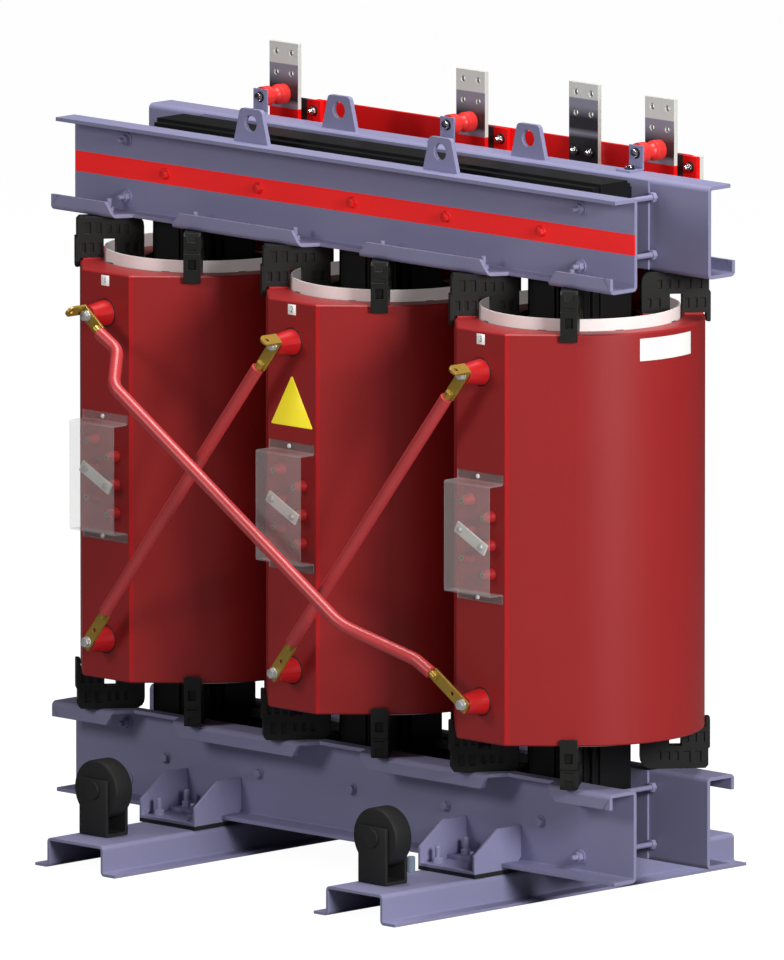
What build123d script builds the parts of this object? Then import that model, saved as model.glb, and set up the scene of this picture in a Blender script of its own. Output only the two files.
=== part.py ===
from build123d import *

import os
from math import acos, atan2, cos, hypot, radians, sin, sqrt

# Cast-resin dry type transformer: a three-limb core in folded clamps, three pairs of coils,
# delta links and tap links on the high-voltage side, busbars on the low-voltage side,
# and two base rails that carry the stowed rollers.
#
# Frame: millimetres, origin on the floor under the middle of the core. +X runs along the
# core, -Y is the high-voltage side, +Y the low-voltage side, +Z is up.

# ---- core
limb_pitch = 550.0
core_circle = 214.7
packet_widths = (200.0, 185.0, 165.0, 140.0, 110.0, 75.0)
window_height = 1037.0
lower_yoke_z = 174.5

# ---- clamps: folded plate, narrow flange away from the window, wide lipped flange towards it
clamp_length = 1638.0
clamp_plate = 8.0
clamp_height = 194.0
clamp_bend = 7.0
narrow_flange = 57.0
wide_flange = 71.0
lip_height = 33.0
lip_slant = 20.0
yoke_insulation = 4.4
cutout_depth = 42.0
cutout_inner_half = 67.0
cutout_outer_half = 90.0
pull_plate_width = 60.0
pull_plate_overlap = 40.0

# ---- fastenings of the frame
yoke_bolt = 16.0
tie_rod = 12.0
tie_rod_x = 665.0
tie_rod_spread = 60.0
press_bolt = 12.0
press_bolt_radius = 200.0
foot_bolt = 12.0
stud_reach = 14.0
hole_slip = 1.0

# ---- lifting lugs
lug_x = 277.0
lug_y = 130.0
lug_thickness = 10.0
lug_base = 100.0
lug_top_radius = 30.5
lug_hole_radius = 18.0
lug_hole_height = 41.0

# ---- coils
coil_end_gap = 91.0
lv_inner = 125.0
lv_outer = 185.0
barrier_inner = 204.0
barrier_outer = 208.0
barrier_stand = 24.0
hv_inner = 215.0
hv_outer = 260.0
face_half = 69.5
face_reach = 291.0
coil_chamfer = 3.0
curve_slip = 0.3
stick_width = 16.0
sticks_per_duct = 8

# ---- spacer blocks between the coils and the clamp flanges
block_angle = 50.3
block_width = 36.0
block_inner = 127.0
block_outer = 271.0
arch_inner = 186.0
arch_outer = 212.0
arch_drop = 47.0
nose_inner = 262.0
nose_drop = 12.0
block_corner = 9.0
pad_thickness = 4.3
pad_margin = 1.5

# ---- high-voltage terminals
terminal_rise = 345.0
bushing_base = 28.0
bushing_tip = 20.0
bushing_length = 50.0
terminal_bolt = 12.0
terminal_bolt_depth = 28.0

# ---- delta links: round copper rod in a sleeve, flattened into a strap at each end
rod_radius = 8.0
sleeve_radius = 13.5
strap_width = 26.0
strap_thickness = 5.0
strap_overhang = 14.0
rod_root = 14.0
strap_gap = 2.0
tab_setback = 20.0
low_strap = 90.0
high_strap = 67.0
tab_length = 50.0
tab_hole = 35.0
tab_hole_radius = 4.5
spare_hole = 35.0

# ---- the long link's bends: offsets along X, outwards and along Z from the nearer terminal
long_bulge = 51.0
long_low_bends = [(-87.0, 0.0, 57.0), (-131.0, 0.0, 79.0), (-300.0, long_bulge, 138.0)]
long_high_bends = [(134.0, long_bulge, 128.0), (94.0, 0.0, 62.0), (41.0, 0.0, 32.0)]
long_bend_radii = (60.0, 150.0, 45.0, 40.0)

# ---- tap field and its cover
tap_column = 30.0
tap_step = 60.0
tap_stagger = 30.0
tap_base = 13.5
tap_tip = 9.0
tap_length = 26.0
tap_link_width = 24.0
tap_link_overhang = 14.0
tap_link_thickness = 4.5
cover_sheet = 3.0
cover_width = 130.0
cover_depth = 42.0
cover_height = 230.0
cover_flange = 20.0
cover_bend = 3.0
cover_screw_x = -5.0

# ---- low-voltage busbars
bar_width = 84.0
bar_thickness = 10.0
bar_y = 241.0
bar_rise = 143.5
bar_hole_pitch = 44.0
bar_hole_radius = 6.5
bar_hole_drop = 20.0
lead_y = 155.0
jog_drop = 142.5
neutral_bar_x = 294.0
neutral_y = 277.0
neutral_bus_height = 80.0
neutral_bus_rise = 22.5
neutral_bus_start = -502.0
neutral_lead_y = 169.0
neutral_lead_x = 33.0
neutral_lead_width = 54.0
neutral_lead_slack = 21.0
neutral_palm_reach = 72.0
neutral_palm_height = 64.0
neutral_bolt_rise = 0.5
neutral_bolt_x = 53.0
neutral_bolt_pitch = 44.0
insulator_rise = 35.5
insulator_end_radius = 21.0
insulator_waist_radius = 13.0
bracket_width = 40.0
bracket_plate = 4.0
bracket_foot = 40.0
bracket_height = 52.0

# ---- base rails, feet and rollers
rail_gauge = 820.0
rail_top = 164.0
rail_height = 63.0
rail_flange = 36.0
rail_wall = 6.0
rail_bend = 7.0
rail_length = 1042.0
foot_pad = 8.5
foot_plate = 6.0
foot_reach = 137.0
foot_height = 82.5
foot_nose = 33.5
foot_flat = 67.0
foot_bolt_spread = 50.0
foot_bolt_inner = 29.0
foot_bolt_outer = 112.0
fork_offset = 25.0
fork_width = 80.0
fork_depth = 64.0
fork_ear = 7.0
fork_y = 412.0
fork_eye_radius = 23.0
axle_height = 97.0
axle_radius = 12.5
axle_head_radius = 19.0
axle_head = 5.0
wheel_radius = 62.5
wheel_width = 49.0
wheel_running_slip = 0.08
wheel_edge = 4.0

# ---- worked out from the above
packet_depths = [sqrt((core_circle / 2) ** 2 - (w / 2) ** 2) for w in packet_widths]
packets = list(zip(packet_widths, [0.0] + packet_depths[:-1], packet_depths))
core_depth = packet_depths[-1]
upper_yoke_z = lower_yoke_z + window_height + packet_widths[0]
limb_x = [-limb_pitch, 0.0, limb_pitch]
yoke_bolt_x = [i * limb_pitch / 2 for i in range(-2, 3)]
web_inner = core_depth + yoke_insulation
web_outer = web_inner + clamp_plate
flange_edge = web_outer + wide_flange
half_clamp = clamp_height / 2
clamp_floor = upper_yoke_z - half_clamp
clamp_ceiling = lower_yoke_z + half_clamp
clamp_top = upper_yoke_z + half_clamp
coil_height = clamp_floor - clamp_ceiling - 2 * coil_end_gap
coil_bottom = clamp_ceiling + coil_end_gap
coil_top = coil_bottom + coil_height
coil_middle = coil_bottom + coil_height / 2
bar_top = clamp_top + bar_rise
jog_foot = clamp_top - jog_drop
neutral_bus_top = clamp_top + neutral_bus_rise
neutral_bolt_z = clamp_top + neutral_bolt_rise
insulator_z = clamp_top + insulator_rise
block_height = clamp_floor - coil_top - pad_thickness
block_angles = [block_angle, 180 - block_angle, -block_angle, block_angle - 180]
terminal_y = -(face_reach + bushing_length)
rod_y = terminal_y - rod_radius
upper_terminal_z = coil_middle + terminal_rise
lower_terminal_z = coil_middle - terminal_rise
tap_y = -(face_reach + tap_length)
rail_x = [-rail_gauge / 2, rail_gauge / 2]
foot_top = lower_yoke_z - half_clamp
foot_base = foot_top - foot_plate
axle_z = rail_height + axle_height
roller_places = [(x - fork_offset, side * fork_y) for x in rail_x for side in (-1, 1)]
centred_low = (Align.CENTER, Align.CENTER, Align.MIN)

os.makedirs("parts", exist_ok=True)


def keep(piece, name):
    """Label a finished piece and write it as its own STEP file."""
    piece.part.label = name
    export_step(piece.part, f"parts/{name}.step")


def hexagon(across_flats):
    """A hexagon for a bolt head or a nut, in the active sketch."""
    RegularPolygon(across_flats / 2, 6, major_radius=False)


def facing(x, y, z, direction):
    """A plane at a point, its normal along the given direction."""
    return Plane(origin=(x, y, z), z_dir=direction)


# ---- core: stepped packets, limbs butted between the yokes


def add_packets(x, z, size_of):
    """Add every packet round (x, z); size_of gives its length and height from its width."""
    for width, inner, outer in packets:
        length, height = size_of(width)
        if inner == 0:
            with Locations((x, 0, z)):
                Box(length, 2 * outer, height)
        else:
            for side in (-1, 1):
                with Locations((x, side * (inner + outer) / 2, z)):
                    Box(length, outer - inner, height)


with BuildPart() as core_limbs:
    for x in limb_x:
        middle_z = (lower_yoke_z + upper_yoke_z) / 2
        add_packets(x, middle_z, lambda w: (w, upper_yoke_z - lower_yoke_z - w))
keep(core_limbs, "core_limbs")

for z, name in ((lower_yoke_z, "lower_yoke"), (upper_yoke_z, "upper_yoke")):
    with BuildPart() as yoke:
        add_packets(0, z, lambda w: (2 * limb_pitch + w, w))
        with Locations(*[(x, 0, z) for x in yoke_bolt_x]):
            Cylinder(
                (yoke_bolt + hole_slip) / 2, core_circle, rotation=(90, 0, 0), mode=Mode.SUBTRACT
            )
    keep(yoke, name)

with BuildPart() as pull_plates:
    plate_reach = upper_yoke_z - lower_yoke_z + 2 * pull_plate_overlap
    for side in (-1, 1):
        plate_y = side * (core_depth + yoke_insulation / 2)
        with Locations(*[(x, plate_y, (lower_yoke_z + upper_yoke_z) / 2) for x in limb_x]):
            Box(pull_plate_width, yoke_insulation, plate_reach)
        with Locations(*[(x, plate_y, z) for x in limb_x for z in (lower_yoke_z, upper_yoke_z)]):
            Cylinder(
                (yoke_bolt + hole_slip) / 2, clamp_plate, rotation=(90, 0, 0), mode=Mode.SUBTRACT
            )
keep(pull_plates, "pull_plates")

with BuildPart() as insulation:
    sheet_length = 2 * limb_pitch + packet_widths[0]
    sheet_height = packet_widths[0] - 2 * clamp_bend
    for side in (-1, 1):
        sheet_y = side * (core_depth + yoke_insulation / 2)
        for z, window in ((lower_yoke_z, 1), (upper_yoke_z, -1)):
            with Locations((0, sheet_y, z)):
                Box(sheet_length, yoke_insulation, sheet_height)
            slot_depth = sheet_height / 2 + pull_plate_overlap + curve_slip
            slot_z = z + window * (sheet_height - slot_depth) / 2
            with Locations(*[(x, sheet_y, slot_z) for x in limb_x]):
                Box(
                    pull_plate_width + 2 * curve_slip,
                    clamp_plate,
                    slot_depth,
                    mode=Mode.SUBTRACT,
                )
            with Locations(*[(x, sheet_y, z) for x in yoke_bolt_x[1::2]]):
                Cylinder(
                    (yoke_bolt + hole_slip) / 2,
                    clamp_plate,
                    rotation=(90, 0, 0),
                    mode=Mode.SUBTRACT,
                )
keep(insulation, "yoke_insulation")


# ---- clamps


def press_bolt_places(side):
    """Where the pressing bolts stand in plan on one side of the core."""
    reach_x = press_bolt_radius * cos(radians(block_angle))
    reach_y = press_bolt_radius * sin(radians(block_angle))
    return [(x + s * reach_x, side * reach_y) for x in limb_x for s in (-1, 1)]


def foot_bolt_places(side):
    """Where the foot bolts stand in plan: a pair through the clamp, a pair beyond it."""
    reaches = (web_outer + foot_bolt_inner, web_outer + foot_bolt_outer)
    return [
        (x + s * foot_bolt_spread, side * y) for y in reaches for x in rail_x for s in (-1, 1)
    ]


def make_clamp(side, window):
    """A folded clamp; side is -1 at the front, window is the way its wide flange faces."""
    z = upper_yoke_z if window < 0 else lower_yoke_z
    web = side * (web_inner + clamp_plate / 2)
    reach = half_clamp - clamp_plate / 2
    wide_z = z + window * half_clamp
    taper = (cutout_outer_half - cutout_inner_half) / cutout_depth
    with BuildPart() as clamp:
        with BuildSketch(Plane.YZ):
            with BuildLine():
                FilletPolyline(
                    (side * (web_outer + narrow_flange), z - window * reach),
                    (web, z - window * reach),
                    (web, z + window * reach),
                    (side * (flange_edge - clamp_plate / 2), z + window * reach),
                    (side * (flange_edge - clamp_plate / 2), wide_z - window * lip_height),
                    radius=clamp_bend,
                )
            trace(line_width=clamp_plate)
        extrude(amount=clamp_length / 2, both=True)
        with BuildSketch(Plane.XY.offset(wide_z + window)):
            inner = side * (flange_edge - cutout_depth)
            outer = side * (flange_edge + 1)
            outer_half = cutout_outer_half + taper
            for x in limb_x:
                Polygon(
                    (x - cutout_inner_half, inner),
                    (x + cutout_inner_half, inner),
                    (x + outer_half, outer),
                    (x - outer_half, outer),
                    align=(Align.NONE, Align.NONE),
                )
        extrude(amount=-window * (lip_height + 2), mode=Mode.SUBTRACT)
        with BuildSketch(Plane.XZ.offset(-side * (flange_edge + 1))):
            root = wide_z - window * clamp_plate
            edge = wide_z - window * (lip_height + 1)
            for x in limb_x:
                Polygon(
                    (x - cutout_outer_half, root),
                    (x + cutout_outer_half, root),
                    (x + cutout_outer_half + lip_slant, edge),
                    (x - cutout_outer_half - lip_slant, edge),
                    align=(Align.NONE, Align.NONE),
                )
            for end in (-clamp_length / 2, clamp_length / 2):
                step = lip_slant if end < 0 else -lip_slant
                Polygon((end, root), (end + step, edge), (end, edge), align=(Align.NONE, Align.NONE))
        extrude(amount=side * (clamp_plate + 2), mode=Mode.SUBTRACT)
        with Locations(*[(x, web, z) for x in yoke_bolt_x]):
            Cylinder(
                (yoke_bolt + hole_slip) / 2,
                2 * clamp_plate,
                rotation=(90, 0, 0),
                mode=Mode.SUBTRACT,
            )
        with Locations(
            *[(s * tie_rod_x, web, z + t * tie_rod_spread) for s in (-1, 1) for t in (-1, 1)]
        ):
            Cylinder(
                (tie_rod + hole_slip) / 2,
                2 * clamp_plate,
                rotation=(90, 0, 0),
                mode=Mode.SUBTRACT,
            )
        with Locations(*[(x, y, z + window * reach) for x, y in press_bolt_places(side)]):
            Cylinder((press_bolt + hole_slip) / 2, 2 * clamp_plate, mode=Mode.SUBTRACT)
        if window > 0:
            inner_pair = foot_bolt_places(side)[:4]
            with Locations(*[(x, y, z - window * reach) for x, y in inner_pair]):
                Cylinder((foot_bolt + hole_slip) / 2, 2 * clamp_plate, mode=Mode.SUBTRACT)
    return clamp


keep(make_clamp(-1, -1), "upper_front_clamp")
keep(make_clamp(1, -1), "upper_back_clamp")
keep(make_clamp(-1, 1), "lower_front_clamp")
keep(make_clamp(1, 1), "lower_back_clamp")

with BuildPart() as lifting_lugs:
    for side in (-1, 1):
        with BuildSketch(Plane.XZ.offset(-side * lug_y)):
            for x in (-lug_x, lug_x):
                Polygon(
                    (x - lug_base / 2, clamp_top),
                    (x + lug_base / 2, clamp_top),
                    (x + lug_top_radius, clamp_top + lug_hole_height),
                    (x - lug_top_radius, clamp_top + lug_hole_height),
                    align=(Align.NONE, Align.NONE),
                )
            with Locations(*[(x, clamp_top + lug_hole_height) for x in (-lug_x, lug_x)]):
                Circle(lug_top_radius)
                Circle(lug_hole_radius, mode=Mode.SUBTRACT)
        extrude(amount=lug_thickness / 2, both=True)
keep(lifting_lugs, "lifting_lugs")


# ---- fastenings of the frame


def make_bolt(across_flats, head, washer_radius, washer, shank, length):
    """A hexagon bolt on its washer, seated on the XY plane with its shank below."""
    with BuildPart() as bolt:
        with Locations((0, 0, -length)):
            Cylinder(shank / 2, length + washer, align=centred_low)
        Cylinder(washer_radius, washer, align=centred_low)
        with BuildSketch(Plane.XY.offset(washer)):
            hexagon(across_flats)
        extrude(amount=head)
    return bolt.part


yoke_bolt_solid = make_bolt(24, 10, 15.5, 2.5, yoke_bolt, 2 * web_outer + stud_reach + 14)
yoke_bolt_heads = [(x, z) for z in (lower_yoke_z, upper_yoke_z) for x in yoke_bolt_x]


def make_nut(across_flats, height, washer_radius, washer, bore):
    """A nut on its washer, seated on the XY plane."""
    with BuildPart() as nut:
        Cylinder(washer_radius, washer, align=centred_low)
        with BuildSketch(Plane.XY.offset(washer)):
            hexagon(across_flats)
        extrude(amount=height)
        Cylinder(bore / 2, height + washer, align=centred_low, mode=Mode.SUBTRACT)
    return nut.part


with BuildPart() as yoke_bolts:
    with Locations(*[facing(x, -web_outer, z, (0, -1, 0)) for x, z in yoke_bolt_heads]):
        add(yoke_bolt_solid)
    with Locations(*[facing(x, web_outer, z, (0, 1, 0)) for x, z in yoke_bolt_heads]):
        add(make_nut(24, 13, 15.5, 2.5, yoke_bolt + hole_slip / 2))
keep(yoke_bolts, "yoke_bolts")

tie_rod_places = [
    (s * tie_rod_x, z + t * tie_rod_spread)
    for z in (lower_yoke_z, upper_yoke_z)
    for s in (-1, 1)
    for t in (-1, 1)
]

with BuildPart() as tie_rods:
    for x, z in tie_rod_places:
        with BuildSketch(Plane.XZ):
            with Locations((x, z)):
                Circle(tie_rod / 2)
        extrude(amount=web_outer + stud_reach + 12, both=True)
        for side in (-1, 1):
            with BuildSketch(Plane.XZ.offset(-side * web_inner)):
                with Locations((x, z)):
                    hexagon(19)
            extrude(amount=side * 10)
    tie_rod_nut = make_nut(19, 10, 15.5, 2.5, tie_rod + hole_slip / 2)
    for side in (-1, 1):
        with Locations(*[facing(x, side * web_outer, z, (0, side, 0)) for x, z in tie_rod_places]):
            add(tie_rod_nut)
keep(tie_rods, "tie_rods")

with BuildPart() as pressing_bolts:
    for side in (-1, 1):
        for x, y in press_bolt_places(side):
            for z, window in ((lower_yoke_z, 1), (upper_yoke_z, -1)):
                bearing = facing(x, y, z + window * (half_clamp - clamp_plate), (0, 0, -window))
                with BuildSketch(bearing.offset(-clamp_plate)):
                    Circle(press_bolt / 2)
                extrude(amount=clamp_plate + 28)
                with BuildSketch(bearing):
                    hexagon(19)
                extrude(amount=10)
keep(pressing_bolts, "pressing_bolts")


# ---- coils


def coil_outline():
    """The outline of a high-voltage coil: a circle drawn out to the flat terminal face."""
    corner = hypot(face_half, face_reach)
    swing = atan2(face_half, face_reach) + acos(hv_outer / corner)
    touch_x = hv_outer * sin(swing)
    touch_y = -hv_outer * cos(swing)
    Circle(hv_outer)
    Polygon(
        (-face_half, -face_reach),
        (face_half, -face_reach),
        (touch_x, touch_y),
        (-touch_x, touch_y),
        align=(Align.NONE, Align.NONE),
    )


for x, name in zip(limb_x, ("left", "middle", "right")):
    with BuildPart() as lv_coil:
        with BuildSketch(Plane.XY.offset(coil_bottom)):
            with Locations((x, 0)):
                Circle(lv_outer)
                Circle(lv_inner, mode=Mode.SUBTRACT)
        extrude(amount=coil_height)
    keep(lv_coil, f"{name}_lv_coil")

    with BuildPart() as barrier:
        with BuildSketch(Plane.XY.offset(coil_bottom - barrier_stand)):
            with Locations((x, 0)):
                Circle(barrier_outer)
                Circle(barrier_inner, mode=Mode.SUBTRACT)
        extrude(amount=coil_height + 2 * barrier_stand)
    keep(barrier, f"{name}_barrier_cylinder")

    with BuildPart() as hv_coil:
        with BuildSketch(Plane.XY.offset(coil_bottom)):
            with Locations((x, 0)):
                coil_outline()
        extrude(amount=coil_height)
        rims = hv_coil.edges().group_by(Axis.Z)
        chamfer(rims[0] + rims[-1], length=coil_chamfer)
        with Locations((x, 0, coil_middle)):
            Cylinder(hv_inner, coil_height, mode=Mode.SUBTRACT)
    keep(hv_coil, f"{name}_hv_coil")


def add_sticks(x, inner, outer):
    """Add a ring of upright duct sticks between two radii round the limb at x."""
    with Locations((x, 0, coil_middle)):
        with PolarLocations((inner + outer) / 2, sticks_per_duct, start_angle=22.5):
            Box(outer - inner, stick_width, coil_height)


with BuildPart() as duct_sticks:
    for x in limb_x:
        inner_reach = sqrt((barrier_inner - curve_slip) ** 2 - (stick_width / 2) ** 2)
        outer_reach = sqrt((hv_inner - curve_slip) ** 2 - (stick_width / 2) ** 2)
        add_sticks(x, lv_outer + curve_slip, inner_reach)
        add_sticks(x, barrier_outer + curve_slip, outer_reach)
keep(duct_sticks, "duct_sticks")


# ---- spacer blocks and their pads


def block_plane(x, angle):
    """The upright plane through a limb's axis that a spacer block lies along."""
    across = (sin(radians(angle)), -cos(radians(angle)), 0)
    along = (cos(radians(angle)), sin(radians(angle)), 0)
    return Plane(origin=(x, 0, 0), x_dir=along, z_dir=across)


def make_blocks(flange, up):
    """The spacer blocks at one end of the coils; up is 1 above the coils, -1 below."""
    foot = flange - up * block_height
    with BuildPart() as blocks:
        for x in limb_x:
            for angle in block_angles:
                with BuildSketch(block_plane(x, angle)):
                    Polygon(
                        (block_inner, foot),
                        (arch_inner, foot),
                        (arch_inner, flange - up * arch_drop),
                        (arch_outer, flange - up * arch_drop),
                        (arch_outer, foot),
                        (nose_inner, foot),
                        (nose_inner, foot - up * (pad_thickness + nose_drop)),
                        (block_outer, foot - up * (pad_thickness + nose_drop)),
                        (block_outer, flange - up * block_corner),
                        (block_outer - block_corner, flange),
                        (block_inner + block_corner, flange),
                        (block_inner, flange - up * block_corner),
                        align=(Align.NONE, Align.NONE),
                    )
                extrude(amount=block_width / 2, both=True)
    return blocks


keep(make_blocks(clamp_floor, 1), "upper_spacer_blocks")
keep(make_blocks(clamp_ceiling, -1), "lower_spacer_blocks")

with BuildPart() as spacer_pads:
    pads = (
        (block_inner + pad_margin, lv_outer - pad_margin),
        (hv_inner + pad_margin, hv_outer - coil_chamfer - pad_margin),
    )
    for x in limb_x:
        for angle in block_angles:
            for z in (coil_bottom - pad_thickness, coil_top):
                with BuildSketch(block_plane(x, angle)):
                    for start, end in pads:
                        with Locations(((start + end) / 2, z + pad_thickness / 2)):
                            Rectangle(end - start, pad_thickness)
                extrude(amount=block_width / 2, both=True)
keep(spacer_pads, "spacer_pads")

# ---- high-voltage terminals

terminal_places = [(x, z) for x in limb_x for z in (lower_terminal_z, upper_terminal_z)]

with BuildPart() as hv_bushings:
    with Locations(*[(x, -face_reach, z) for x, z in terminal_places]):
        Cone(
            bushing_base,
            bushing_tip,
            bushing_length,
            rotation=(90, 0, 0),
            align=centred_low,
        )
    with Locations(*[(x, terminal_y, z) for x, z in terminal_places]):
        Cylinder(
            (terminal_bolt + hole_slip) / 2,
            2 * (terminal_bolt_depth + 2 - strap_thickness),
            rotation=(90, 0, 0),
            mode=Mode.SUBTRACT,
        )
keep(hv_bushings, "hv_bushings")

with BuildPart() as terminal_bolts:
    terminal_front = terminal_y - strap_thickness
    with Locations(*[facing(x, terminal_front, z, (0, -1, 0)) for x, z in terminal_places]):
        add(make_bolt(19, 8, 12, 2.5, terminal_bolt, terminal_bolt_depth))
keep(terminal_bolts, "hv_terminal_bolts")


# ---- delta links


def strap_plane(start, end):
    """The plane of a strap's back face, its x axis from the bolt towards the rod."""
    along = (end[0] - start[0], 0, end[1] - start[1])
    return Plane(origin=(start[0], terminal_y, start[1]), x_dir=along, z_dir=(0, -1, 0))


def add_strap(bolt, rod_end, tab, spare):
    """Add the flattened end of a rod, from its bolt to a little way past the rod's end."""
    plane = strap_plane(bolt, rod_end)
    reach = hypot(rod_end[0] - bolt[0], rod_end[1] - bolt[1]) - strap_gap
    overhang = tab_setback if tab else strap_overhang
    with BuildSketch(plane) as strap:
        with Locations(((reach - overhang) / 2, 0)):
            Rectangle(reach + overhang, strap_width)
        Circle((terminal_bolt + hole_slip) / 2, mode=Mode.SUBTRACT)
        if spare:
            with Locations((spare_hole, 0)):
                Circle(tab_hole_radius, mode=Mode.SUBTRACT)
    extrude(strap.sketch, amount=strap_thickness)
    root = Plane(
        origin=plane.from_local_coords((reach - rod_root, 0, rod_radius)),
        z_dir=plane.x_dir,
    )
    with BuildSketch(root) as stub:
        Circle(rod_radius)
    extrude(stub.sketch, amount=rod_root + strap_gap)
    if tab:
        fold = Plane(
            origin=plane.from_local_coords((-overhang, 0, 0)),
            x_dir=(0, -1, 0),
            z_dir=plane.x_dir,
        )
        with BuildSketch(fold) as tongue:
            with Locations(((tab_length - strap_width / 2) / 2, 0)):
                Rectangle(tab_length - strap_width / 2, strap_width)
            with Locations((tab_length - strap_width / 2, 0)):
                Circle(strap_width / 2)
            with Locations((tab_hole, 0)):
                Circle(tab_hole_radius, mode=Mode.SUBTRACT)
        extrude(tongue.sketch, amount=strap_thickness)


def make_link(low_bolt, high_bolt, path, radii):
    """A bent rod between two terminals, flattened at both ends; the high end has a tab."""
    with BuildPart() as link:
        with BuildLine() as route:
            if radii:
                FilletPolyline(*path, radius=radii)
            else:
                Polyline(*path)
        with BuildSketch(Plane(origin=route.line @ 0, z_dir=route.line % 0)):
            Circle(rod_radius)
        sweep(path=route.line)
        add_strap(low_bolt, (path[0][0], path[0][2]), False, True)
        add_strap(high_bolt, (path[-1][0], path[-1][2]), True, False)
    with BuildPart() as sleeve:
        with BuildSketch(Plane(origin=route.line @ 0, z_dir=route.line % 0)):
            Circle(sleeve_radius)
            Circle(rod_radius + curve_slip, mode=Mode.SUBTRACT)
        sweep(path=route.line)
    return link, sleeve


def straight_path(low, high):
    """The rod's straight run between two terminals, clear of both straps."""
    length = hypot(high[0] - low[0], high[1] - low[1])
    step_x = (high[0] - low[0]) / length
    step_z = (high[1] - low[1]) / length
    return [
        (low[0] + low_strap * step_x, rod_y, low[1] + low_strap * step_z),
        (high[0] - high_strap * step_x, rod_y, high[1] - high_strap * step_z),
    ]


sleeves = []
for start, name in ((-limb_pitch, "left_delta"), (0.0, "right_delta")):
    low = (start, lower_terminal_z)
    high = (start + limb_pitch, upper_terminal_z)
    link, sleeve = make_link(low, high, straight_path(low, high), None)
    sleeves.append(sleeve.part)
    keep(link, f"{name}_link")

long_low = (limb_pitch, lower_terminal_z)
long_high = (-limb_pitch, upper_terminal_z)
from_low = [(x, rod_y - out, long_low[1] + z) for x, out, z in long_low_bends]
from_high = [(long_high[0] + x, rod_y - out, long_high[1] - z) for x, out, z in long_high_bends]
long_path = [(long_low[0] + x, y, z) for x, y, z in from_low] + from_high
link, sleeve = make_link(long_low, long_high, long_path, long_bend_radii)
keep(link, "long_delta_link")

with BuildPart() as delta_sleeves:
    add(sleeves + [sleeve.part])
keep(delta_sleeves, "delta_sleeves")

# ---- tap field

left_taps = [(-tap_column, coil_middle + tap_stagger / 2 + k * tap_step) for k in (-1, 0, 1)]
right_taps = [(tap_column, coil_middle - tap_stagger / 2 + k * tap_step) for k in (-1, 0, 1)]
tap_places = [(x + u, z) for x in limb_x for u, z in left_taps + right_taps]
linked_taps = [(x + u, z) for x in limb_x for u, z in (left_taps[1], right_taps[1])]

with BuildPart() as tap_cones:
    with Locations(*[(x, -face_reach, z) for x, z in tap_places]):
        Cone(tap_base, tap_tip, tap_length, rotation=(90, 0, 0), align=centred_low)
keep(tap_cones, "tap_cones")

with BuildPart() as tap_links:
    for x in limb_x:
        link_plane = Plane(
            origin=(x, tap_y, coil_middle),
            x_dir=(2 * tap_column, 0, -tap_stagger),
            z_dir=(0, -1, 0),
        )
        with BuildSketch(link_plane):
            length = hypot(2 * tap_column, tap_stagger) + 2 * tap_link_overhang
            Rectangle(length, tap_link_width)
        extrude(amount=tap_link_thickness)
keep(tap_links, "tap_links")

with BuildPart() as tap_bolts:
    for x, z in tap_places:
        seat = tap_y - (tap_link_thickness if (x, z) in linked_taps else 0)
        with BuildSketch(facing(x, seat, z, (0, -1, 0))):
            hexagon(13)
        extrude(amount=6)
keep(tap_bolts, "tap_bolts")

with BuildPart() as tap_covers:
    half = cover_height / 2
    seat = -(face_reach + cover_sheet / 2)
    front = seat - cover_depth + cover_sheet
    for x in limb_x:
        with BuildSketch(Plane.YZ.offset(x)):
            with BuildLine():
                FilletPolyline(
                    (seat, coil_middle - half - cover_flange),
                    (seat, coil_middle - half),
                    (front, coil_middle - half),
                    (front, coil_middle + half),
                    (seat, coil_middle + half),
                    (seat, coil_middle + half + cover_flange),
                    radius=cover_bend,
                )
            trace(line_width=cover_sheet)
        extrude(amount=cover_width / 2, both=True)
keep(tap_covers, "tap_covers")

with BuildPart() as cover_screws:
    for x in limb_x:
        for up in (-1, 1):
            z = coil_middle + up * (cover_height + cover_flange + cover_sheet) / 2
            screw_plane = facing(x + cover_screw_x, -(face_reach + cover_sheet), z, (0, -1, 0))
            with BuildSketch(screw_plane):
                Circle(5)
            extrude(amount=4, taper=15)
keep(cover_screws, "cover_screws")


# ---- low-voltage busbars


def cut_bar_holes(x, y):
    """Cut the four-hole pattern of a customer's terminal through a bar's top."""
    with Locations((x, y, bar_top - bar_hole_drop - bar_hole_pitch / 2)):
        with Locations(
            *[
                (s * bar_hole_pitch / 2, 0, t * bar_hole_pitch / 2)
                for s in (-1, 1)
                for t in (-1, 1)
            ]
        ):
            Cylinder(
                bar_hole_radius, 2 * bar_thickness, rotation=(90, 0, 0), mode=Mode.SUBTRACT
            )


for x, name in zip(limb_x, ("left", "middle", "right")):
    with BuildPart() as phase_bar:
        with BuildSketch(Plane.YZ.offset(x)):
            with BuildLine():
                FilletPolyline(
                    (lead_y, coil_top),
                    (lead_y, jog_foot),
                    (bar_y, jog_foot + bar_y - lead_y),
                    (bar_y, bar_top),
                    radius=bar_thickness,
                )
            trace(line_width=bar_thickness)
        extrude(amount=bar_width / 2, both=True)
        cut_bar_holes(x, bar_y)
    keep(phase_bar, f"{name}_phase_bar")

bus_y = neutral_y + bar_thickness
neutral_end = limb_x[-1] + neutral_palm_reach
bus_low = neutral_bus_top - neutral_bus_height

with BuildPart() as neutral_bar:
    with Locations((neutral_bar_x, neutral_y, (bar_top + bus_low) / 2)):
        Box(bar_width, bar_thickness, bar_top - bus_low)
    cut_bar_holes(neutral_bar_x, neutral_y)
keep(neutral_bar, "neutral_bar")

with BuildPart() as neutral_bus:
    with Locations(((neutral_bus_start + neutral_end) / 2, bus_y, (neutral_bus_top + bus_low) / 2)):
        Box(neutral_end - neutral_bus_start, bar_thickness, neutral_bus_height)
keep(neutral_bus, "neutral_bus")

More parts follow.
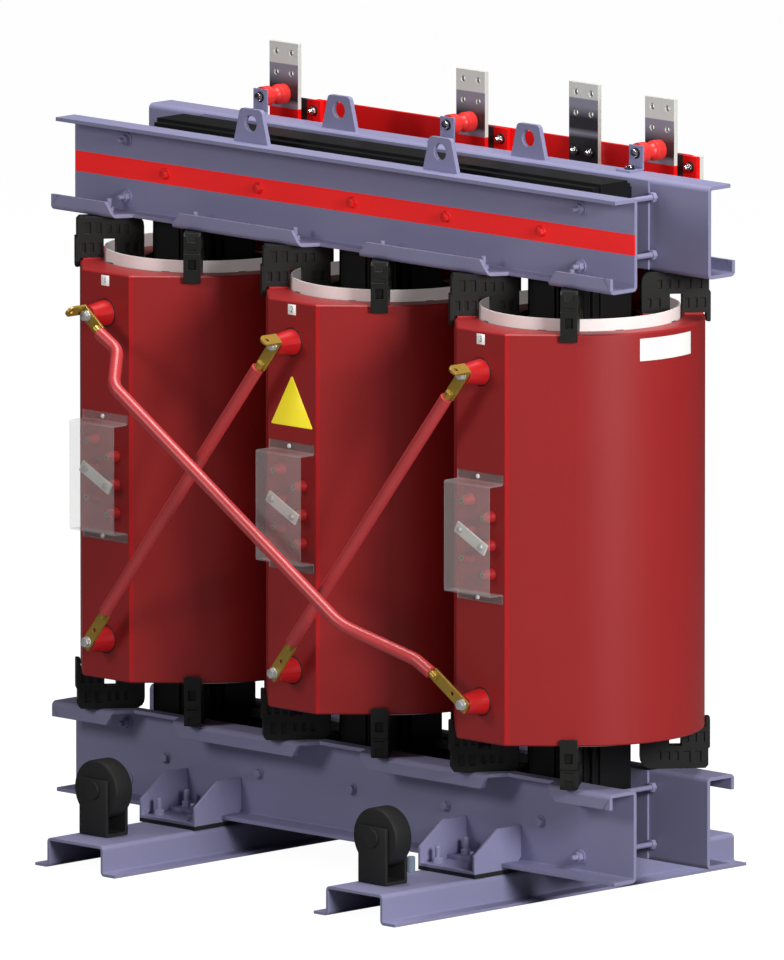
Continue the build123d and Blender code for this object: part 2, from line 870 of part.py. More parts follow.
with BuildPart() as neutral_leads:
    neutral_jog = jog_foot + neutral_lead_y - lead_y - neutral_lead_slack
    palm_start = neutral_lead_x - neutral_lead_width / 2
    for x in limb_x:
        with BuildSketch(Plane.YZ.offset(x + neutral_lead_x)):
            with BuildLine():
                FilletPolyline(
                    (neutral_lead_y, coil_top),
                    (neutral_lead_y, neutral_jog),
                    (neutral_y, neutral_jog + neutral_y - neutral_lead_y),
                    (neutral_y, neutral_bus_top),
                    radius=bar_thickness,
                )
            trace(line_width=bar_thickness)
        extrude(amount=neutral_lead_width / 2, both=True)
        palm_middle = x + (palm_start + neutral_palm_reach) / 2
        with Locations((palm_middle, neutral_y, neutral_bus_top - neutral_palm_height / 2)):
            Box(neutral_palm_reach - palm_start, bar_thickness, neutral_palm_height)
keep(neutral_leads, "neutral_leads")

bracket_y = web_outer + narrow_flange - bracket_plate / 2
insulator_start = bracket_y + bracket_plate / 2
insulator_end = bar_y - bar_thickness / 2

with BuildPart() as insulator_brackets:
    for x in limb_x:
        with BuildSketch(Plane.YZ.offset(x)):
            with BuildLine():
                FilletPolyline(
                    (bracket_y - bracket_foot, clamp_top + bracket_plate / 2),
                    (bracket_y, clamp_top + bracket_plate / 2),
                    (bracket_y, clamp_top + bracket_height),
                    radius=bracket_plate / 2 + 1,
                )
            trace(line_width=bracket_plate)
        extrude(amount=bracket_width / 2, both=True)
keep(insulator_brackets, "insulator_brackets")

with BuildPart() as post_insulators:
    for x in limb_x:
        middle = (insulator_start + insulator_end) / 2
        with BuildSketch(Plane.XY.offset(insulator_z)):
            with BuildLine():
                Polyline(
                    (x + insulator_end_radius, middle - 12),
                    (x + insulator_end_radius, insulator_start),
                    (x, insulator_start),
                    (x, insulator_end),
                    (x + insulator_end_radius, insulator_end),
                    (x + insulator_end_radius, middle + 12),
                )
                ThreePointArc(
                    (x + insulator_end_radius, middle + 12),
                    (x + insulator_waist_radius, middle),
                    (x + insulator_end_radius, middle - 12),
                )
            make_face()
        revolve(axis=Axis((x, 0, insulator_z), (0, 1, 0)))
keep(post_insulators, "post_insulators")

neutral_front = neutral_y - bar_thickness / 2
neutral_bolt_places = [x + neutral_bolt_x for x in limb_x]
neutral_bolt_places += [neutral_bar_x + s * neutral_bolt_pitch / 2 for s in (-1, 1)]
bolt_seats = [facing(x, neutral_front, neutral_bolt_z, (0, -1, 0)) for x in neutral_bolt_places]
for x in limb_x:
    bolt_seats += [
        facing(x, bracket_y - bracket_plate / 2, insulator_z, (0, -1, 0)),
        facing(x, bar_y + bar_thickness / 2, insulator_z, (0, 1, 0)),
        facing(x, bracket_y - bracket_foot / 2, clamp_top + bracket_plate, (0, 0, 1)),
    ]

with BuildPart() as busbar_bolts:
    with BuildSketch(*bolt_seats):
        hexagon(17)
    extrude(amount=8)
keep(busbar_bolts, "busbar_bolts")


# ---- base: rails, pads, feet


for x, name in zip(rail_x, ("left_base_rail", "right_base_rail")):
    with BuildPart() as base_rail:
        shoulder = (rail_top - rail_wall) / 2
        with BuildSketch(Plane.XZ):
            with BuildLine():
                FilletPolyline(
                    (x - rail_top / 2 - rail_flange, rail_wall / 2),
                    (x - shoulder, rail_wall / 2),
                    (x - shoulder, rail_height - rail_wall / 2),
                    (x + shoulder, rail_height - rail_wall / 2),
                    (x + shoulder, rail_wall / 2),
                    (x + rail_top / 2 + rail_flange, rail_wall / 2),
                    radius=rail_bend,
                )
            trace(line_width=rail_wall)
        extrude(amount=rail_length / 2, both=True)
        holes = [p for side in (-1, 1) for p in foot_bolt_places(side) if abs(p[0] - x) < rail_top]
        with Locations(*[(u, v, rail_height - rail_wall / 2) for u, v in holes]):
            Cylinder((foot_bolt + hole_slip) / 2, 2 * rail_wall, mode=Mode.SUBTRACT)
    keep(base_rail, name)


def make_feet(side):
    """The pair of welded feet under one lower clamp: a plate and two cheeks each."""
    start = side * web_outer
    with BuildPart() as feet:
        for x in rail_x:
            with Locations((x, side * (web_outer + foot_reach / 2), foot_base + foot_plate / 2)):
                Box(rail_top, foot_reach, foot_plate)
            for s in (-1, 1):
                with BuildSketch(Plane.YZ.offset(x + s * (rail_top - foot_plate) / 2)):
                    Polygon(
                        (start, foot_top + clamp_plate + clamp_bend),
                        (start, foot_top + foot_height),
                        (start + side * foot_flat, foot_top + foot_height),
                        (start + side * foot_reach, foot_top + foot_nose),
                        (start + side * foot_reach, foot_top),
                        (start + side * (narrow_flange + curve_slip), foot_top),
                        (start + side * (narrow_flange + curve_slip), foot_top + clamp_plate),
                        (start + side * clamp_bend, foot_top + clamp_plate),
                        align=(Align.NONE, Align.NONE),
                    )
                extrude(amount=foot_plate / 2, both=True)
        with Locations(*[(u, v, foot_base + foot_plate / 2) for u, v in foot_bolt_places(side)]):
            Cylinder((foot_bolt + hole_slip) / 2, 2 * foot_plate, mode=Mode.SUBTRACT)
    return feet


keep(make_feet(-1), "front_feet")
keep(make_feet(1), "back_feet")

with BuildPart() as foot_pads:
    for side in (-1, 1):
        for x in rail_x:
            with Locations((x, side * (web_outer + foot_reach / 2), rail_height + foot_pad / 2)):
                Box(rail_top, foot_reach, foot_pad)
        with Locations(*[(u, v, rail_height + foot_pad / 2) for u, v in foot_bolt_places(side)]):
            Cylinder((foot_bolt + hole_slip) / 2, 2 * foot_pad, mode=Mode.SUBTRACT)
keep(foot_pads, "foot_pads")

with BuildPart() as foot_bolts:
    for side in (-1, 1):
        for index, (x, y) in enumerate(foot_bolt_places(side)):
            seat = foot_top + clamp_plate if index < 4 else foot_top
            below = seat - rail_height + 2 * rail_wall
            with Locations((x, y, seat)):
                add(make_bolt(19, 10, 12, 2.5, foot_bolt, below))
keep(foot_bolts, "foot_bolts")

# ---- rollers, stowed on top of the rails

with BuildPart() as roller_forks:
    inner_gap = fork_depth - 2 * fork_ear
    for x, y in roller_places:
        with Locations((x, y, rail_height + fork_ear / 2)):
            Box(fork_width, fork_depth, fork_ear)
        for s in (-1, 1):
            with BuildSketch(Plane.XZ.offset(-(y + s * (fork_depth - fork_ear) / 2))):
                Polygon(
                    (x - fork_width / 2, rail_height),
                    (x + fork_width / 2, rail_height),
                    (x + fork_width / 2, rail_height + fork_ear),
                    (x + fork_eye_radius, axle_z),
                    (x - fork_eye_radius, axle_z),
                    (x - fork_width / 2, rail_height + fork_ear),
                    align=(Align.NONE, Align.NONE),
                )
                with Locations((x, axle_z)):
                    Circle(fork_eye_radius)
            extrude(amount=fork_ear / 2, both=True)
        with Locations((x, y, axle_z)):
            Cylinder(axle_radius + hole_slip / 10, fork_depth, rotation=(90, 0, 0), mode=Mode.SUBTRACT)
keep(roller_forks, "roller_forks")

with BuildPart() as roller_axles:
    for x, y in roller_places:
        outward = 1 if y > 0 else -1
        front = facing(x, y + outward * fork_depth / 2, axle_z, (0, outward, 0))
        with BuildSketch(front):
            Circle(axle_head_radius)
        extrude(amount=axle_head)
        with BuildSketch(front):
            Circle(axle_radius)
        extrude(amount=-(fork_depth + axle_head))
keep(roller_axles, "roller_axles")

roller_names = ("left_front_roller", "left_back_roller", "right_front_roller", "right_back_roller")
for (x, y), name in zip(roller_places, roller_names):
    with BuildPart() as roller:
        with Locations((x, y, axle_z)):
            Cylinder(wheel_radius, wheel_width, rotation=(90, 0, 0))
        rims = roller.edges().filter_by(GeomType.CIRCLE)
        chamfer(rims, length=wheel_edge)
        with Locations((x, y, axle_z)):
            Cylinder(
                axle_radius + wheel_running_slip,
                wheel_width,
                rotation=(90, 0, 0),
                mode=Mode.SUBTRACT,
            )
    keep(roller, name)
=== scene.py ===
from math import cos, pi, radians, sin

import bmesh
import bpy
from mathutils import Matrix, Vector


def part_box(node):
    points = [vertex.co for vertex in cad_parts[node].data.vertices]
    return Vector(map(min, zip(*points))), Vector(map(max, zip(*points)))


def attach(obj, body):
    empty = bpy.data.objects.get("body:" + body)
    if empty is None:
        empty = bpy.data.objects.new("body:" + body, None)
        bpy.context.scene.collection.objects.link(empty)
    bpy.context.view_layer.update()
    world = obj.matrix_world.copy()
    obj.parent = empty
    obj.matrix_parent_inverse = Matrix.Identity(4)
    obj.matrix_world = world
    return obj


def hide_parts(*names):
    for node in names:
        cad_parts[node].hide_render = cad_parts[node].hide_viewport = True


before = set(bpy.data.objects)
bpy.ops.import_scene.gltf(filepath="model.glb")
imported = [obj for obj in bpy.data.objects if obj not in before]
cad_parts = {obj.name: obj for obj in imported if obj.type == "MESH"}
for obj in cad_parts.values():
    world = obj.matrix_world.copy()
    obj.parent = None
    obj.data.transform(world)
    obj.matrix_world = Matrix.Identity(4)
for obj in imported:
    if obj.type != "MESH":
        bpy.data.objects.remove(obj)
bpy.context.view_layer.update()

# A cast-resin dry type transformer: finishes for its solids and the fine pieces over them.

mm = 0.001


# ---- places read from the frame


def middle(name):
    """The middle of a node's box."""
    low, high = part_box(name)
    return [(a + b) / 2 for a, b in zip(low, high)]


sides = ("left", "middle", "right")
corners = ("left_front", "left_back", "right_front", "right_back")
coil_low, coil_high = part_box("middle_hv_coil")
limb_x = [middle(f"{side}_hv_coil")[0] for side in sides]
coil_top = coil_high.z
coil_bottom = coil_low.z
coil_middle = (coil_top + coil_bottom) / 2
face_y = coil_low.y
hv_radius = coil_high.y
upper_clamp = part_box("upper_front_clamp")
lower_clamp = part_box("lower_front_clamp")
upper_yoke_z = middle("upper_front_clamp")[2]
lower_yoke_z = middle("lower_front_clamp")[2]
clamp_plate = 8 * mm
front_web_y = -113.0 * mm
back_web_y = -front_web_y
bar_thickness = 10 * mm
phase_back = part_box("middle_phase_bar")[1].y
bar_front = phase_back - bar_thickness
neutral_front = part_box("neutral_bar")[0].y
bus_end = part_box("neutral_bus")[1].x
rail_top_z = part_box("left_base_rail")[1].z
front, back = (0, -1, 0), (0, 1, 0)
up, down = (0, 0, 1), (0, 0, -1)
in_place = [Matrix.Identity(4)]


# ---- mesh helpers

sharp = radians(35)


def new_piece(name, bm, material, body="frame"):
    """Turn a finished bmesh into a named piece that rides on a body."""
    bmesh.ops.recalc_face_normals(bm, faces=bm.faces)
    for face in bm.faces:
        face.smooth = True
    for edge in bm.edges:
        edge.smooth = len(edge.link_faces) == 2 and edge.calc_face_angle(0) < sharp
    mesh = bpy.data.meshes.new(name)
    bm.to_mesh(mesh)
    bm.free()
    mesh.materials.append(material)
    piece = bpy.data.objects.new(name, mesh)
    bpy.context.scene.collection.objects.link(piece)
    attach(piece, body)
    return piece


def turned(profile, steps):
    """A solid turned round Z from a profile of (radius, height) points."""
    bm = bmesh.new()
    verts = [bm.verts.new((r * mm, 0, z * mm)) for r, z in profile]
    edges = [bm.edges.new(pair) for pair in zip(verts, verts[1:])]
    bmesh.ops.spin(
        bm, geom=verts + edges, cent=(0, 0, 0), axis=(0, 0, 1), angle=2 * pi, steps=steps,
        use_merge=True
    )
    bmesh.ops.remove_doubles(bm, verts=bm.verts, dist=1e-6)
    bmesh.ops.recalc_face_normals(bm, faces=bm.faces)
    return bm


def add_copy(bm, other, matrix):
    """Add a transformed copy of another bmesh."""
    mesh = bpy.data.meshes.new("copy")
    other.to_mesh(mesh)
    start = len(bm.verts)
    bm.from_mesh(mesh)
    bpy.data.meshes.remove(mesh)
    bm.verts.ensure_lookup_table()
    bmesh.ops.transform(bm, matrix=matrix, verts=bm.verts[start:])


def gather(parts):
    """One bmesh from pairs of a shape and the matrices that place its copies."""
    bm = bmesh.new()
    for shape, matrices in parts:
        for matrix in matrices:
            add_copy(bm, shape, matrix)
    return bm


def pointing(x, y, z, direction, turn=0.0):
    """A matrix that takes +Z to a direction at a place, with a turn about it."""
    swing = Vector(direction).to_track_quat("Z", "Y").to_matrix().to_4x4()
    return Matrix.Translation((x, y, z)) @ swing @ Matrix.Rotation(turn, 4, "Z")


def soften(bm, edges, offset):
    """Round edges with a small bevel of two steps."""
    bmesh.ops.bevel(
        bm, geom=edges, offset=offset, segments=2, profile=0.5, affect="EDGES", material=-1
    )


def grow(bm, faces, reach):
    """Extrude faces along a vector into a solid."""
    grown = bmesh.ops.extrude_face_region(bm, geom=faces)
    far = [v for v in grown["geom"] if isinstance(v, bmesh.types.BMVert)]
    bmesh.ops.translate(bm, verts=far, vec=reach)


def hex_prism(across_flats, height):
    """A hexagon nut or head with chamfered corners, seated on Z = 0."""
    radius = across_flats / 2 / cos(pi / 6)
    bm = bmesh.new()
    bmesh.ops.create_cone(
        bm, cap_ends=True, segments=6, radius1=radius * mm, radius2=radius * mm, depth=height * mm,
        matrix=Matrix.Translation((0, 0, height / 2 * mm))
    )
    rim = [e for e in bm.edges if all(v.co.z > height * 0.9 * mm for v in e.verts)]
    soften(bm, rim, height * 0.14 * mm)
    return bm


def washer(outer, inner, height):
    """A flat washer with softened rims, seated on Z = 0."""
    edge = height * 0.3
    profile = [
        (inner, 0), (outer, 0), (outer, height - edge), (outer - edge, height), (inner, height),
        (inner, 0),
    ]
    return turned(profile, 28)


def threaded_stud(radius, length):
    """A stud end with ring threads and a chamfered tip, seated on Z = 0."""
    pitch = 1.75
    root = radius * 0.9
    profile = [(0, 0), (root, 0)]
    turns = int((length - 1.5) / pitch)
    for k in range(turns):
        profile += [(root, (k + 0.1) * pitch), (radius, (k + 0.5) * pitch)]
    profile += [(root, turns * pitch), (radius * 0.72, length), (0, length)]
    return turned(profile, 16)


def plate(points, thickness):
    """A thin plate on the XY plane from its corner points, with softened edges."""
    bm = bmesh.new()
    bottom = bm.faces.new([bm.verts.new((x * mm, y * mm, 0)) for x, y in points])
    grow(bm, [bottom], (0, 0, thickness * mm))
    soften(bm, list(bm.edges), 0.15 * mm)
    return bm


def rectangle(width, height):
    """The corners of a centred rectangle, in order."""
    return [(-width / 2, -height / 2), (width / 2, -height / 2), (width / 2, height / 2),
            (-width / 2, height / 2)]


def filled_outline(bm, loops):
    """Fill the area between an outer loop and its holes; the points are (x, z)."""
    edges = []
    for loop in loops:
        verts = [bm.verts.new((x * mm, 0, z * mm)) for x, z in loop]
        edges += [bm.edges.new((a, b)) for a, b in zip(verts, verts[1:] + verts[:1])]
    bmesh.ops.triangle_fill(bm, use_beauty=True, use_dissolve=False, edges=edges)


def slab(loops, y_low, y_high):
    """A flat slab with holes, from loops of (x, z) points, between two places along Y."""
    bm = bmesh.new()
    filled_outline(bm, loops)
    bmesh.ops.translate(bm, verts=bm.verts, vec=(0, y_low * mm, 0))
    grow(bm, list(bm.faces), (0, (y_high - y_low) * mm, 0))
    bmesh.ops.recalc_face_normals(bm, faces=bm.faces)
    return bm


def window(x, z, width, height):
    """A rectangular hole with its lower left corner at (x, z)."""
    return [(x, z), (x, z + height), (x + width, z + height), (x + width, z)]


def arc(x, z, radius, start, end, steps):
    """Points along an arc, angles in degrees."""
    angles = [radians(start + (end - start) * k / steps) for k in range(steps + 1)]
    return [(x + radius * cos(a), z + radius * sin(a)) for a in angles]


def stack(shape, lift, seats):
    """A shape with the matrices that stand its copies a little way above each seat."""
    return shape, [seat @ Matrix.Translation((0, 0, lift * mm)) for seat in seats]


# ---- shader helpers


def new_group(name, inputs, outputs):
    """A node group with named sockets; returns its tree, input node and output node."""
    tree = bpy.data.node_groups.new(name, "ShaderNodeTree")
    for title, kind, value in inputs:
        socket = tree.interface.new_socket(title, in_out="INPUT", socket_type=kind)
        socket.default_value = value
    for title, kind in outputs:
        tree.interface.new_socket(title, in_out="OUTPUT", socket_type=kind)
    return tree, tree.nodes.new("NodeGroupInput"), tree.nodes.new("NodeGroupOutput")


def math_node(tree, operation, first, second=None, clamp=False):
    """A Math node; its inputs are sockets or numbers."""
    node = tree.nodes.new("ShaderNodeMath")
    node.operation = operation
    node.use_clamp = clamp
    for socket, value in zip(node.inputs, (first, second)):
        if value is None:
            continue
        if isinstance(value, (int, float)):
            socket.default_value = value
        else:
            tree.links.new(value, socket)
    return node.outputs[0]


def mix_colours(tree, factor, first, second):
    """Blend two colours, each a socket or a tuple, by a factor socket."""
    node = tree.nodes.new("ShaderNodeMix")
    node.data_type = "RGBA"
    tree.links.new(factor, node.inputs["Factor"])
    # the colour sockets come after the node's number and vector ones
    for socket, value in zip(node.inputs[6:8], (first, second)):
        if isinstance(value, tuple):
            socket.default_value = value
        else:
            tree.links.new(value, socket)
    return node.outputs[2]


def noise(tree, vector, scale, detail):
    """A noise texture's factor at a scale per metre."""
    node = tree.nodes.new("ShaderNodeTexNoise")
    node.inputs["Scale"].default_value = scale
    node.inputs["Detail"].default_value = detail
    node.inputs["Roughness"].default_value = 0.55
    tree.links.new(vector, node.inputs["Vector"])
    return node.outputs["Fac"]


def coat_group():
    """Paint, resin and moulding: mottled colour, lighter edges that are partly worn and partly a
    painted highlight, uneven gloss and fine relief.
    """
    tree, ins, outs = new_group(
        "worn_and_highlit_coat",
        [
            ("Color", "NodeSocketColor", (0.5, 0.5, 0.5, 1)),
            ("Edge Color", "NodeSocketColor", (0.7, 0.7, 0.7, 1)),
            ("Edge Worn And Highlit", "NodeSocketFloat", 0.3),
            ("Mottle", "NodeSocketFloat", 0.1),
            ("Roughness", "NodeSocketFloat", 0.5),
            ("Grain Scale", "NodeSocketFloat", 600.0),
        ],
        [
            ("Color", "NodeSocketColor"),
            ("Roughness", "NodeSocketFloat"),
            ("Height", "NodeSocketFloat"),
            ("Normal", "NodeSocketVector"),
        ],
    )
    links = tree.links
    place = tree.nodes.new("ShaderNodeTexCoord").outputs["Object"]
    cloud = noise(tree, place, 7.0, 4.0)
    speck = noise(tree, place, 90.0, 2.0)
    grain = tree.nodes.new("ShaderNodeTexNoise")
    grain.inputs["Detail"].default_value = 1.0
    links.new(place, grain.inputs["Vector"])
    links.new(ins.outputs["Grain Scale"], grain.inputs["Scale"])
    # edges take the lighter edge colour where the bevelled normal parts from the flat one: partly
    # worn, partly a painted highlight
    rounded = tree.nodes.new("ShaderNodeBevel")
    rounded.samples = 4
    rounded.inputs["Radius"].default_value = 2.2 * mm
    flat = tree.nodes.new("ShaderNodeNewGeometry")
    dot = tree.nodes.new("ShaderNodeVectorMath")
    dot.operation = "DOT_PRODUCT"
    links.new(rounded.outputs["Normal"], dot.inputs[0])
    links.new(flat.outputs["Normal"], dot.inputs[1])
    bend = math_node(tree, "SUBTRACT", 1.0, dot.outputs["Value"])
    edge = math_node(tree, "MULTIPLY", bend, 5.0, True)
    ragged = math_node(tree, "MULTIPLY", edge, math_node(tree, "ADD", speck, 0.5), True)
    edge_worn_and_highlit = math_node(tree, "MULTIPLY", ragged, ins.outputs["Edge Worn And Highlit"], True)
    shift = math_node(tree, "SUBTRACT", cloud, 0.5)
    shade = math_node(tree, "MULTIPLY", shift, ins.outputs["Mottle"])
    level = math_node(tree, "ADD", shade, 1.0)
    tint = tree.nodes.new("ShaderNodeVectorMath")
    tint.operation = "SCALE"
    links.new(ins.outputs["Color"], tint.inputs[0])
    links.new(level, tint.inputs["Scale"])
    colour = mix_colours(tree, edge_worn_and_highlit, tint.outputs["Vector"], ins.outputs["Edge Color"])
    links.new(colour, outs.inputs["Color"])
    gloss = math_node(tree, "MULTIPLY", math_node(tree, "SUBTRACT", speck, 0.5), 0.12)
    rough = math_node(tree, "ADD", ins.outputs["Roughness"], gloss, True)
    links.new(rough, outs.inputs["Roughness"])
    links.new(grain.outputs["Fac"], outs.inputs["Height"])
    links.new(rounded.outputs["Normal"], outs.inputs["Normal"])
    return tree


worn_and_highlit_coat = coat_group()


def coated(name, colour, roughness, mottle=0.12, edge_worn_and_highlit=0.25, edge=None, grain=600.0, relief=0.1,
           metallic=0.0, specular=0.5, alpha=1.0, glow=0.0, paint=None, lit=None):
    """A material on the shared coat group, whose lighter edges are partly worn and partly a painted
    highlight.

    paint lays further colours over the coat, and glow is painted light: it makes the surface give
    off a little light, all over or where the mask from lit is 1.
    """
    material = bpy.data.materials.new(name)
    material.use_nodes = True
    tree = material.node_tree
    shader = tree.nodes["Principled BSDF"]
    group = tree.nodes.new("ShaderNodeGroup")
    group.node_tree = worn_and_highlit_coat
    # the default edge colour is a lighter tone of the coat: partly worn, partly a painted highlight
    brighter = tuple(min(1.0, c * 1.35 + 0.02) for c in colour[:3]) + (1,)
    group.inputs["Color"].default_value = (*colour, 1)
    group.inputs["Edge Color"].default_value = edge or brighter
    group.inputs["Edge Worn And Highlit"].default_value = edge_worn_and_highlit
    group.inputs["Mottle"].default_value = mottle
    group.inputs["Roughness"].default_value = roughness
    group.inputs["Grain Scale"].default_value = grain
    bump = tree.nodes.new("ShaderNodeBump")
    bump.inputs["Strength"].default_value = relief
    bump.inputs["Distance"].default_value = 0.4 * mm
    tree.links.new(group.outputs["Height"], bump.inputs["Height"])
    tree.links.new(group.outputs["Normal"], bump.inputs["Normal"])
    tree.links.new(bump.outputs["Normal"], shader.inputs["Normal"])
    result = group.outputs["Color"]
    if paint:
        result = paint(tree, result)
    tree.links.new(result, shader.inputs["Base Color"])
    tree.links.new(group.outputs["Roughness"], shader.inputs["Roughness"])
    shader.inputs["Metallic"].default_value = metallic
    shader.inputs["Specular IOR Level"].default_value = specular
    shader.inputs["Alpha"].default_value = alpha
    if glow:
        bright = mix_colours(tree, lit(tree), (0, 0, 0, 1), result) if lit else result
        tree.links.new(bright, shader.inputs["Emission Color"])
        shader.inputs["Emission Strength"].default_value = glow
    return material


# places in metres that lie past the object on either side
far_low = -1.0
far_high = 2.0


def band_mask(tree, axis, low, high, soft=0.4 * mm):
    """A mask that is 1 between two places along an axis of the object's own coordinates."""
    split = tree.nodes.new("ShaderNodeSeparateXYZ")
    place = tree.nodes.new("ShaderNodeTexCoord").outputs["Object"]
    tree.links.new(place, split.inputs[0])
    value = split.outputs[axis]
    above = math_node(tree, "MULTIPLY", math_node(tree, "SUBTRACT", value, low), 1 / soft, True)
    below = math_node(tree, "MULTIPLY", math_node(tree, "SUBTRACT", high, value), 1 / soft, True)
    return math_node(tree, "MULTIPLY", above, below)


stripe_low = upper_yoke_z - 22.5 * mm
stripe_high = upper_yoke_z + 21.5 * mm
stripe_red = (0.95, 0.014, 0.014, 1)


def stripe_mask(tree):
    """1 on the band along the outer face of the upper front clamp."""
    height = band_mask(tree, "Z", stripe_low, stripe_high)
    outer_face = band_mask(tree, "Y", far_low, front_web_y + 3 * mm)
    return math_node(tree, "MULTIPLY", height, outer_face)


def stripe_paint(tree, base):
    """Red on the band, the frame's paint elsewhere."""
    return mix_colours(tree, stripe_mask(tree), base, stripe_red)


coil_edge_low = 68.5 * mm
coil_edge_high = 76 * mm
coil_front_y = -240 * mm
coil_edge_highlight_red = (0.52, 0.006, 0.010, 1)


def beside_limbs(tree, low, high, soft=0.4 * mm):
    """1 between two places to the right of each limb's middle."""
    mask = 0.0
    for x in limb_x:
        mask = math_node(tree, "MAXIMUM", mask, band_mask(tree, "X", x + low, x + high, soft))
    return mask


def coil_edge_highlight_paint(tree, base):
    """A painted highlight: a brighter, deeper red line down the edge where each coil's flat face meets
    its curve, right of each limb.
    """
    lines = beside_limbs(tree, coil_edge_low, coil_edge_high, 1 * mm)
    held = math_node(tree, "MULTIPLY", lines, band_mask(tree, "Y", far_low, coil_front_y))
    return mix_colours(tree, math_node(tree, "MULTIPLY", held, 0.75), base, coil_edge_highlight_red)


insulation_red = (0.95, 0.006, 0.006, 1)
# painted reflections for the tinned bars: near-black and lavender-grey bands
painted_dark_reflection = (0.035, 0.033, 0.036, 1)
painted_grey_reflection = (0.34, 0.33, 0.40, 1)
bar_bright = (0.86, 0.87, 0.80, 1)

# heights in mm of each painted reflection shade on the front of a bar, from the foot up
phase_bar_reflections = [
    (1512, painted_grey_reflection), (1522, painted_grey_reflection), (1532, painted_dark_reflection), (1560, painted_dark_reflection), (1590, painted_grey_reflection),
    (1606, painted_grey_reflection), (1608, bar_bright), (1660, bar_bright),
]
neutral_bar_reflections = [
    (1440, painted_dark_reflection), (1536, painted_dark_reflection), (1546, painted_grey_reflection), (1556, painted_dark_reflection), (1578, painted_dark_reflection),
    (1602, painted_grey_reflection), (1618, painted_grey_reflection), (1620, bar_bright), (1660, bar_bright),
]
red_foot_top = 1514 * mm
bare_bus_end = 24 * mm
bare_step_low = 4 * mm
bare_step_high = 33 * mm
bare_step_foot = 1440 * mm


def shade_ramp(tree, stops):
    """Colour by height, from pairs of a height in mm and a colour."""
    split = tree.nodes.new("ShaderNodeSeparateXYZ")
    place = tree.nodes.new("ShaderNodeTexCoord").outputs["Object"]
    tree.links.new(place, split.inputs[0])
    low, high = stops[0][0] * mm, stops[-1][0] * mm
    rise = math_node(tree, "SUBTRACT", split.outputs["Z"], low)
    factor = math_node(tree, "MULTIPLY", rise, 1 / (high - low), True)
    ramp = tree.nodes.new("ShaderNodeValToRGB")
    elements = ramp.color_ramp.elements
    elements[0].color = stops[0][1]
    elements[1].color = stops[-1][1]
    for height, colour in stops[1:-1]:
        elements.new((height * mm - low) / (high - low)).color = colour
    tree.links.new(factor, ramp.inputs["Fac"])
    return ramp.outputs["Color"]


def bar_reflection_paint(tree, base, front_y, plating):
    """Painted reflections: shades by height on the front of a bar, plain plating elsewhere."""
    face = band_mask(tree, "Y", far_low, front_y + 0.5 * mm)
    return mix_colours(tree, face, base, shade_ramp(tree, plating))


def phase_bar_paint(tree, base):
    """Bright palm, plating with painted dark reflections below it, and red insulation at the foot."""
    shaded = bar_reflection_paint(tree, base, bar_front, phase_bar_reflections)
    return mix_colours(tree, band_mask(tree, "Z", 0.0, red_foot_top), shaded, insulation_red)


def neutral_bar_paint(tree, base):
    """Bright palm and plating with painted dark reflections towards the bolts."""
    return bar_reflection_paint(tree, base, neutral_front, neutral_bar_reflections)


def bus_paint(tree, base):
    """Red insulation with a bare plated right end."""
    bare_end = band_mask(tree, "X", bus_end - bare_bus_end, far_high)
    return mix_colours(tree, bare_end, insulation_red, base)


def lead_paint(tree, base):
    """Red insulation with a bare step beside each palm, painted near-black as a dark reflection."""
    steps = beside_limbs(tree, bare_step_low, bare_step_high)
    held = math_node(tree, "MULTIPLY", steps, band_mask(tree, "Z", bare_step_foot, far_high))
    return mix_colours(tree, held, base, painted_dark_reflection)


def tinned_finish(name, mottle=0.08, paint=None):
    """Bright tin plating, with an optional paint over it."""
    return coated(
        name, bar_bright[:3], 0.36, mottle=mottle, metallic=0.15, edge=(0.86, 0.86, 0.80, 1),
        paint=paint
    )


lavender = (0.280, 0.272, 0.440)
# lighter lavender for the frame's edges: partly worn paint, partly a painted highlight
lavender_worn_highlit_edge = (0.40, 0.39, 0.58, 1)
frame_paint = coated("frame_paint", lavender, 0.46, edge_worn_and_highlit=0.45, edge=lavender_worn_highlit_edge)
# the red band also glows a little where stripe_mask is 1: painted light
striped_paint = coated(
    "striped_frame_paint", lavender, 0.46, edge_worn_and_highlit=0.35, edge=lavender_worn_highlit_edge, paint=stripe_paint,
    glow=0.22, lit=stripe_mask
)
stripe_bolt = coated("stripe_painted_bolt", stripe_red[:3], 0.4)
# the resin carries a painted highlight line down each coil's face edge
cast_resin = coated(
    "cast_resin", (0.345, 0.017, 0.018), 0.42, mottle=0.10, edge_worn_and_highlit=0.35, edge=(0.55, 0.08, 0.08, 1),
    grain=350.0, relief=0.06, specular=0.35, paint=coil_edge_highlight_paint
)
tap_resin = coated("tap_resin", (0.40, 0.016, 0.020), 0.36)
brass = coated("brass_insert", (0.30, 0.28, 0.16), 0.35, metallic=0.5)
bright_resin = coated("bright_resin", (0.50, 0.010, 0.012), 0.34)
insulator_resin = coated("insulator_resin", (0.90, 0.040, 0.036), 0.40)
dark_ring = coated("bushing_joint", (0.06, 0.005, 0.005), 0.6)
winding = coated("foil_winding", (0.20, 0.030, 0.026), 0.55, mottle=0.3, grain=250.0, relief=0.3)
